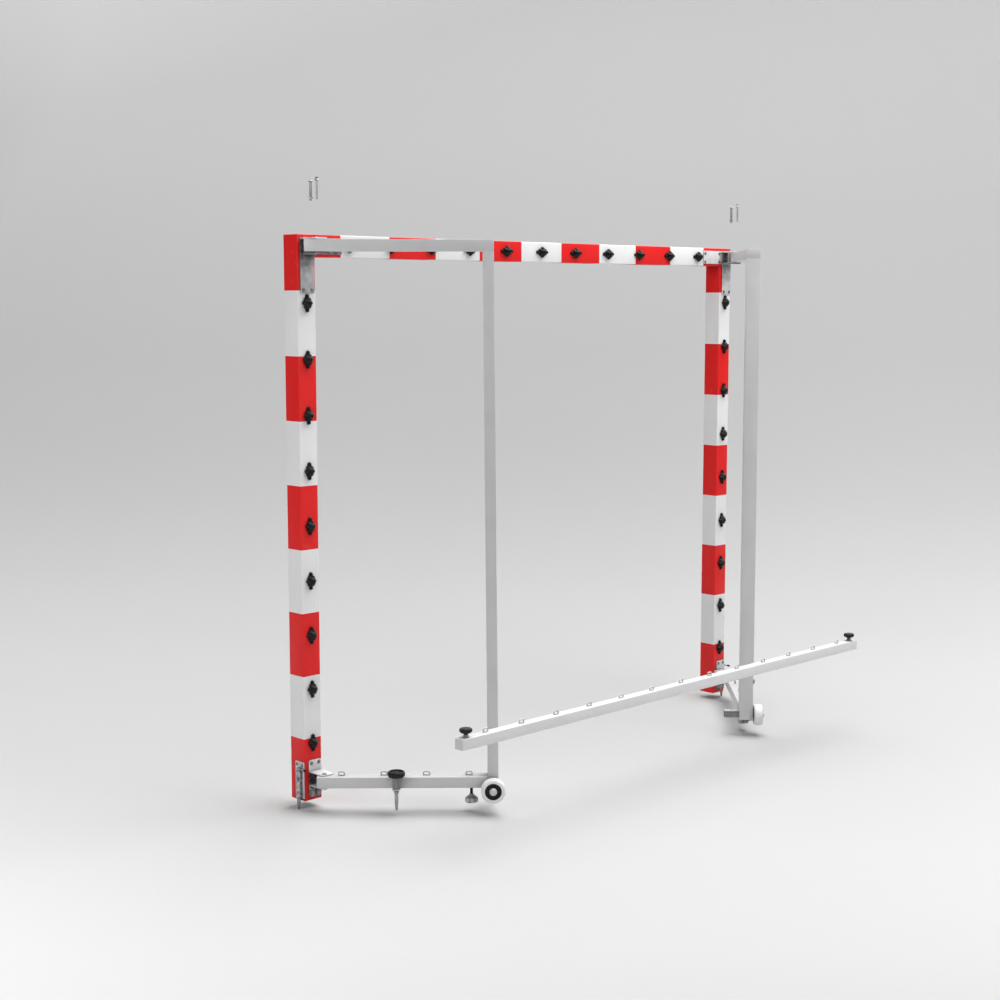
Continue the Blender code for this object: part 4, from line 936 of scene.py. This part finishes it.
def make_wheel(side):
    inner = TUBE_WIDE / 2 + WHEEL_GAP
    outer = inner + WHEEL_WIDTH
    rim = WHEEL_RADIUS
    reach = BOTTOM_REACH - LEAN * (WHEEL_Z - TUBE_FOOT)
    place = hinge_matrix(side) @ move(reach, 0.0, WHEEL_Z) @ turn("X", 90.0 * SIDES[side])
    tyre = rounded([(0.03, outer - 0.006), (0.031, outer), (rim - 0.0045, outer),
        (rim, outer - 0.006), (rim, inner + 0.006), (rim - 0.0045, inner), (0.03, inner),
        (0.03, inner + 0.006)], 0.003, 5)
    bm = bmesh.new()
    add_turned(bm, tyre, 56, ring=True)
    face = [(0.0312, outer + 0.0001), (rim - 0.0058, outer + 0.0001)]
    add_turned(bm, face, 56, slot=2)
    disc = rounded([(0.0145, outer - 0.006), (0.0145, outer - 0.0035), (0.019, outer - 0.003),
        (0.02, outer - 0.0045), (0.0285, outer - 0.004), (0.0305, outer - 0.0005),
        (0.0312, outer - 0.0015, False), (0.0312, inner + 0.002, False),
        (0.006, inner + 0.001, False), (0.006, outer - 0.006)], 0.0008, 3)
    add_turned(bm, disc, 48, slot=1, ring=True)
    for index in range(6):
        add_box(bm, (0.0195, -0.0012, outer - 0.0048), (0.029, 0.0012, outer - 0.0028), 0.0005,
            matrix=turn("Z", 60.0 * index), slot=1)
    finish(f"transport_wheel_{side}", bm, [WHITE_TYRE, BLACK, WHEEL_FACE],
        f"wheel_{side}", matrix=place, sharp=40)
    tube = TUBE_WIDE / 2 + 0.0003
    web = outer - 0.004
    axle = rounded([(0.0, 0.0195), (0.0055, 0.0195, False), (0.0055, tube, False), (0.011, tube),
        (0.011, inner - 0.0003), (0.0055, inner - 0.0003, False), (0.0055, web - 0.001, False),
        (0.0144, web - 0.001, False), (0.0144, web + 0.004), (0.0134, web + 0.0078),
        (0.0108, web + 0.011), (0.0066, web + 0.0134), (0.0, web + 0.0142)], 0.0016)
    bm = bmesh.new()
    add_turned(bm, axle, 36)
    finish(f"wheel_axle_{side}", bm, [HUB_GREY], f"axle_bolt_{side}",
        f"side_frame_{side}", place, 35)


def add_thread(target, radius, low, high, pitch, slot):
    """A ridge wound round a stem, as a thread."""
    points = spiral((radius, radius), low, high, (high - low) / pitch, 14)
    add_wire(target, points, pitch * 0.28, 6, None, slot)


def make_levelling_foot(side):
    top = BOTTOM_ARM[0]
    base = rounded([(0.0, 0.004), (0.023, 0.004), (0.0245, 0.006), (0.0245, 0.0135),
        (0.0235, 0.0175), (0.0195, 0.0225), (0.0125, 0.0265), (0.009, 0.03), (0.0084, 0.0345),
        (0.0, 0.035)], 0.0022)
    bm = bmesh.new()
    add_turned(bm, base, 40)
    stem = [(0.0, 0.034), (0.0052, 0.034), (0.0052, top + 0.0135), (0.0, top + 0.014)]
    add_turned(bm, stem, 20, slot=1)
    add_thread(bm, 0.0052, 0.0372, top - 0.0062, 0.0016, 1)
    nut = rounded([(0.0, top - 0.0053), (0.01, top - 0.0053), (0.01, top - 0.0003),
        (0.0, top - 0.0003)], 0.0008, 2)
    add_turned(bm, nut, 6, slot=1)
    finish(f"bell_foot_{side}", bm, [FOOT_GREY, BLACK],
        f"levelling_foot_{side}", sharp=35, matrix=hinge_matrix(side) @ move(FOOT_REACH, 0.0, 0.0))


def make_ground_anchor(side):
    place = hinge_matrix(side) @ move(ANCHOR_REACH, -SIDES[side] * ANCHOR_OUT, 0.0)
    knob = [(0.0, 0.015, 0.0), (0.0002, 0.0268, 0.4), (0.0012, 0.0292, 0.8),
        (0.004, 0.0315, 1.0), (0.0075, 0.032, 1.0), (0.015, 0.032, 1.0), (0.0188, 0.0312, 0.9),
        (0.0208, 0.029, 0.6), (0.0215, 0.0262, 0.3), (0.021, 0.0244, 0.1), (0.016, 0.0226, 0.0),
        (0.015, 0.0205, 0.0), (0.0146, 0.0105, 0.0), (0.0182, 0.008, 0.0), (0.019, 0.002, 0.0)]
    bm = bmesh.new()
    add_lobed(bm, knob, 12, 0.0024, 8, move(0.0, 0.0, KNOB_Z))
    seat = KNOB_Z + 0.0002
    shaft = rounded([(0.0, SPIKE_TIP), (0.0042, SPIKE_TIP), (0.007, SPIKE_TIP + 0.025),
        (0.007, BUSH_FOOT - 0.006, False), (0.0063, BUSH_FOOT - 0.0055, False),
        (0.0063, BUSH_FOOT - 0.003, False), (0.007, BUSH_FOOT - 0.0025, False),
        (0.007, seat, False), (0.0, seat)], 0.0014, 3)
    add_turned(bm, shaft, 28, slot=1)
    add_box(bm, (-0.0011, -0.0074, 0.01), (0.0011, 0.0074, 0.033), 0.0005, slot=2)
    collar = rounded([(0.0072, KNOB_Z - 0.006), (0.012, KNOB_Z - 0.006), (0.015, seat, False),
        (0.0072, seat)], 0.001, 2)
    add_turned(bm, collar, 28, ring=True)
    finish(f"anchor_spike_{side}", bm, [BLACK, SPIKE_STEEL, SPRING],
        f"ground_anchor_{side}", matrix=place, sharp=35)

    foot, head = LUG[1] + 0.0016, KNOB_Z - 0.0016
    bm = bmesh.new()
    add_wire(bm, spiral(SPRING_RADII, foot, head, SPRING_TURNS, 28), SPRING_WIRE, 10)
    ends = [place @ Vector((0.0, 0.0, z)) for z in (foot, head)]
    finish(f"conical_spring_{side}", bm, [SPRING], f"anchor_spring_{side}",
        f"ground_anchor_{side}", place, 60, (f"side_frame_{side}", *ends))


# Post anchors and loose pins

def make_post_anchor(side):
    sign = SIDES[side]
    outward = Matrix(((0, 0, sign, 0), (1, 0, 0, 0), (0, 1, 0, 0), (0, 0, 0, 1)))
    plate = GOAL @ move(sign * HALF_WIDTH, 0.0, 0.0) @ outward
    corners = rounded_outline(rectangle(*ANCHOR_PLATE), 0.005)
    bm = bmesh.new()
    add_outline(bm, corners, *PLATE_FACES, PLATE_EDGE, plate)
    axis = GOAL @ move(sign * (HALF_WIDTH + SLEEVE_OUT), -SLEEVE_BACK, 0.0)
    root = -sign * SLEEVE_ROOT
    outer = arc((0.0, 0.0), SLEEVE_RADIUS, -math.pi / 2, sign * math.pi, 16)
    inner = arc((0.0, 0.0), SLEEVE_BORE, math.pi / 2, -sign * math.pi, 16)
    shell = [(root, -SLEEVE_RADIUS), *outer, (root, SLEEVE_RADIUS), (root, SLEEVE_BORE), *inner,
        (root, -SLEEVE_BORE)]
    add_outline(bm, shell, *SLEEVE, 0.0005, axis, 2)
    for y in (-0.009, -0.041):
        add_screw(bm, plate @ move(y, 0.1365, PLATE_FACES[1]), 0.0045, 0.0026)
    finish(f"anchor_sleeve_{side}", bm, [ANCHOR_ZINC, SCREW, SLEEVE_ZINC],
        f"post_anchor_housing_{side}", "goal_frame")

    top = HANDLE_Z + 0.0048
    bolt = rounded([(0.0, -0.031), (0.0035, -0.031), (BOLT_RADIUS, -0.004), (BOLT_RADIUS, top),
        (0.0, top)], 0.0012)
    bm = bmesh.new()
    add_turned(bm, bolt, 36)
    handle = move(0.0, 0.0, HANDLE_Z) @ TO_REAR
    add_rod(bm, 0.0024, 0.004, 0.034, 16, handle)
    grip = rounded([(0.0, 0.033), (0.0038, 0.033), (0.0046, 0.036), (0.0046, 0.043),
        (0.0034, 0.046), (0.0, 0.046)], 0.0015)
    add_turned(bm, grip, 24, handle, 1)
    finish(f"drop_bolt_{side}", bm, [SPIKE_STEEL, BLACK],
        f"post_anchor_bolt_{side}", matrix=axis, sharp=35)


def pin_place(node):
    """A loose pin's foot and its length."""
    low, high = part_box(node)
    middle = (low + high) / 2
    return move(middle.x, middle.y, low.z), high.z - low.z


def make_top_pins(side):
    place, length = pin_place(f"pivot_pin_{side}")
    shank, head, knob = 0.0035, length - 0.013, length - 0.004
    pin = rounded([(0.0, 0.0), (0.0021, 0.0), (shank, 0.0035), (shank, 0.0085),
        (0.0028, 0.0092, False), (0.0028, 0.0106, False), (shank, 0.0112), (shank, head, False),
        (0.0085, head), (0.0085, head + 0.0022), (0.0036, head + 0.0086), (0.0036, knob, False),
        (0.0065, knob), (0.0065, length), (0.0, length)], 0.0008, 3)
    bm = bmesh.new()
    add_turned(bm, pin, 28)
    finish(f"loose_pivot_pin_{side}", bm, [SPIKE_STEEL], f"pivot_pin_{side}",
        matrix=place, sharp=35)

    place, length = pin_place(f"lock_bolt_{side}")
    head = length - 0.005
    bm = bmesh.new()
    shank = [(0.0, 0.0), (0.003, 0.0), (0.0042, 0.0015), (0.0042, 0.008), (0.005, 0.01),
        (0.005, head), (0.0, head)]
    add_turned(bm, shank, 24)
    add_thread(bm, 0.0042, 0.0015, 0.008, 0.0012, 0)
    washer = rounded([(0.0, 0.012), (0.0085, 0.012), (0.0085, 0.0135), (0.0, 0.0135)], 0.0005, 2)
    add_turned(bm, washer, 28)
    add_rod(bm, 0.0084, 0.008, 0.012, 6)
    cap = rounded([(0.0, head), (0.0085, head), (0.0085, head + 0.0025), (0.006, length),
        (0.0, length)], 0.0012, 3)
    add_turned(bm, cap, 28)
    finish(f"loose_lock_bolt_{side}", bm, [SPIKE_STEEL], f"lock_bolt_{side}",
        matrix=place, sharp=35)


# Ground bar

def make_ground_bar():
    half_x = (BAR_HIGH.x - BAR_LOW.x) / 2
    half = BAR_SIZE / 2
    bm = bmesh.new()
    add_box(bm, (-half_x + 0.0015, -half, 0.0), (half_x - 0.0015, half, BAR_SIZE), 0.0025, 3)
    for end in (-1, 1):
        near, far = sorted((end * (half_x - 0.003), end * half_x))
        add_box(bm, (near, -half + 0.0008, 0.0008), (far, half - 0.0008, BAR_SIZE - 0.0008), 0.001,
            3, slot=2)
    for index in range(BAR_RINGS):
        add_ring(bm, (BAR_RINGS // 2 - index) * BAR_RING_PITCH, BAR_SIZE)
    finish("net_bar", bm, [BAR_ALLOY, BAR_RING, ALLOY], "ground_bar",
        matrix=move(0.0, (BAR_LOW.y + BAR_HIGH.y) / 2, BAR_LOW.z))


def make_bar_knob(side):
    low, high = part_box(f"bar_knob_{side}")
    middle = (low + high) / 2
    knob = [(0.0085, 0.0062, 0.0), (0.0105, 0.0075, 0.0), (0.0132, 0.012, 0.1),
        (0.0156, 0.0172, 0.4), (0.0172, 0.0204, 0.8), (0.019, 0.0221, 1.0), (0.0215, 0.0225, 1.0),
        (0.027, 0.0225, 1.0), (0.0293, 0.0216, 0.9), (0.0308, 0.0194, 0.7), (0.0314, 0.0145, 0.3),
        (0.0315, 0.007, 0.0), (0.0313, 0.002, 0.0)]
    bm = bmesh.new()
    add_lobed(bm, knob, 8, 0.0028, 10)
    collar = rounded([(0.0, -0.03), (0.004, -0.03, False), (0.004, 0.0, False), (0.01, 0.0),
        (0.01, 0.0045), (0.0068, 0.009), (0.005, 0.011, False), (0.0, 0.011)], 0.0012, 3)
    add_turned(bm, collar, 28, slot=1)
    finish(f"star_knob_{side}", bm, [BLACK, FOOT_GREY], f"bar_knob_{side}",
        sharp=35, matrix=move(middle.x, middle.y, BAR_LOW.z + BAR_SIZE + 0.0003))


# Floor, light and camera

def stage_material(name):
    """Painted light: a pale tone by the way along the floor and backdrop, paler at the sides.

    The backdrop also glows upwards, to the camera and in reflections.
    """
    nodes = Nodes(name)
    across, deep, high = nodes.axes()
    first, last = PAINTED_STAGE_LIGHT[0][0], PAINTED_STAGE_LIGHT[-1][0]
    # Painted light: the tone darkens and brightens along the way, where lamps would light it less
    # or more.
    way = nodes.span(nodes.math("ADD", deep, high), first, last)
    ramp = nodes.add("ShaderNodeValToRGB", {"Fac": way})
    ramp.color_ramp.interpolation = "CARDINAL"
    stops = ramp.color_ramp.elements
    for index, (place, tone) in enumerate(PAINTED_STAGE_LIGHT):
        if 0 < index < len(PAINTED_STAGE_LIGHT) - 1:
            stop = stops.new((place - first) / (last - first))
        else:
            stop = stops[0 if index == 0 else -1]
        stop.color = (tone, tone, tone, 1.0)
    side = nodes.math("MULTIPLY_ADD", across, PAINTED_SIDE_LIGHT[1], PAINTED_SIDE_LIGHT[0])
    side = nodes.math("MULTIPLY_ADD", side, across, 1.0)
    grain = nodes.span(nodes.noise(0.6, 2.0), 0.3, 0.7, 0.995, 1.005)
    tone = nodes.times(nodes.times(ramp.outputs["Color"], side), grain)
    path = nodes.add("ShaderNodeLightPath").outputs
    seen = nodes.math("ADD", path["Is Camera Ray"], path["Is Glossy Ray"])
    seen = nodes.math("ADD", seen, path["Is Transmission Ray"])
    glow = nodes.span(high, *GLOW_HEIGHTS, 0.0, GLOW, interpolation_type="SMOOTHSTEP")
    nodes.set(Base_Color=nodes.math("MINIMUM", tone, PALEST_TONE), Roughness=0.85,
        Specular_IOR_Level=0.1, Emission_Color=(1.0, 1.0, 1.0),
        Emission_Strength=nodes.times(seen, glow))
    return nodes.material


def make_stage():
    """A pale floor that curves up into a backdrop behind the goal, square to the camera."""
    bm = bmesh.new()
    curve = arc((STAGE_BACK - STAGE_CURVE, STAGE_CURVE), STAGE_CURVE, -math.pi / 2, math.pi / 2, 12)
    line = [(STAGE_FRONT, 0.0), *curve, (STAGE_BACK, STAGE_TOP)]
    left, right = ([bm.verts.new((side, y, z)) for y, z in line]
        for side in (-STAGE_HALF, STAGE_HALF))
    for index in range(len(line) - 1):
        bm.faces.new((left[index], right[index], right[index + 1], left[index + 1]))
    mesh = make_mesh("floor_and_backdrop", bm, [stage_material("pale_grey_stage")])
    stage = link(bpy.data.objects.new("floor_and_backdrop", mesh))
    stage.matrix_world = Matrix.Rotation(math.pi - CAMERA_YAW, 4, "Z")


def make_lights():
    world = bpy.data.worlds.new("studio")
    bpy.context.scene.world = world
    world.use_nodes = True
    background = world.node_tree.nodes["Background"]
    background.inputs["Color"].default_value = (1.0, 1.0, 1.0, 1.0)
    background.inputs["Strength"].default_value = WORLD_LIGHT
    for name, (place, target, size, power) in LAMPS.items():
        lamp = bpy.data.lights.new(name, "AREA")
        lamp.shape = "RECTANGLE"
        lamp.size, lamp.size_y = size
        lamp.energy = power
        carrier = link(bpy.data.objects.new(name, lamp))
        carrier.location = place
        aim = Vector(target) - Vector(place)
        carrier.rotation_euler = aim.to_track_quat("-Z", "Y").to_euler()


def make_camera():
    data = bpy.data.cameras.new("camera")
    data.lens = CAMERA_LENS
    data.sensor_width = CAMERA_SENSOR
    data.clip_end = CAMERA_SIGHT
    camera = link(bpy.data.objects.new("camera", data))
    outward, back, up = CAMERA_FROM_POST
    camera.location = (HALF_WIDTH + outward, REAR_Y + back, FOOT_Z + up)
    level = math.cos(CAMERA_PITCH)
    ahead = Vector((-math.sin(CAMERA_YAW) * level, -math.cos(CAMERA_YAW) * level,
        -math.sin(CAMERA_PITCH)))
    camera.rotation_euler = ahead.to_track_quat("-Z", "Y").to_euler()
    bpy.context.scene.camera = camera


make_goal_frame()
make_hooks()
for each_side in SIDES:
    make_top_bracket(each_side)
    make_bottom_bracket(each_side)
    make_side_frame(each_side)
    make_wheel(each_side)
    make_levelling_foot(each_side)
    make_ground_anchor(each_side)
    make_post_anchor(each_side)
    make_top_pins(each_side)
    make_bar_knob(each_side)
make_ground_bar()
make_stage()
make_lights()
make_camera()
bpy.context.scene.view_settings.view_transform = "Standard"
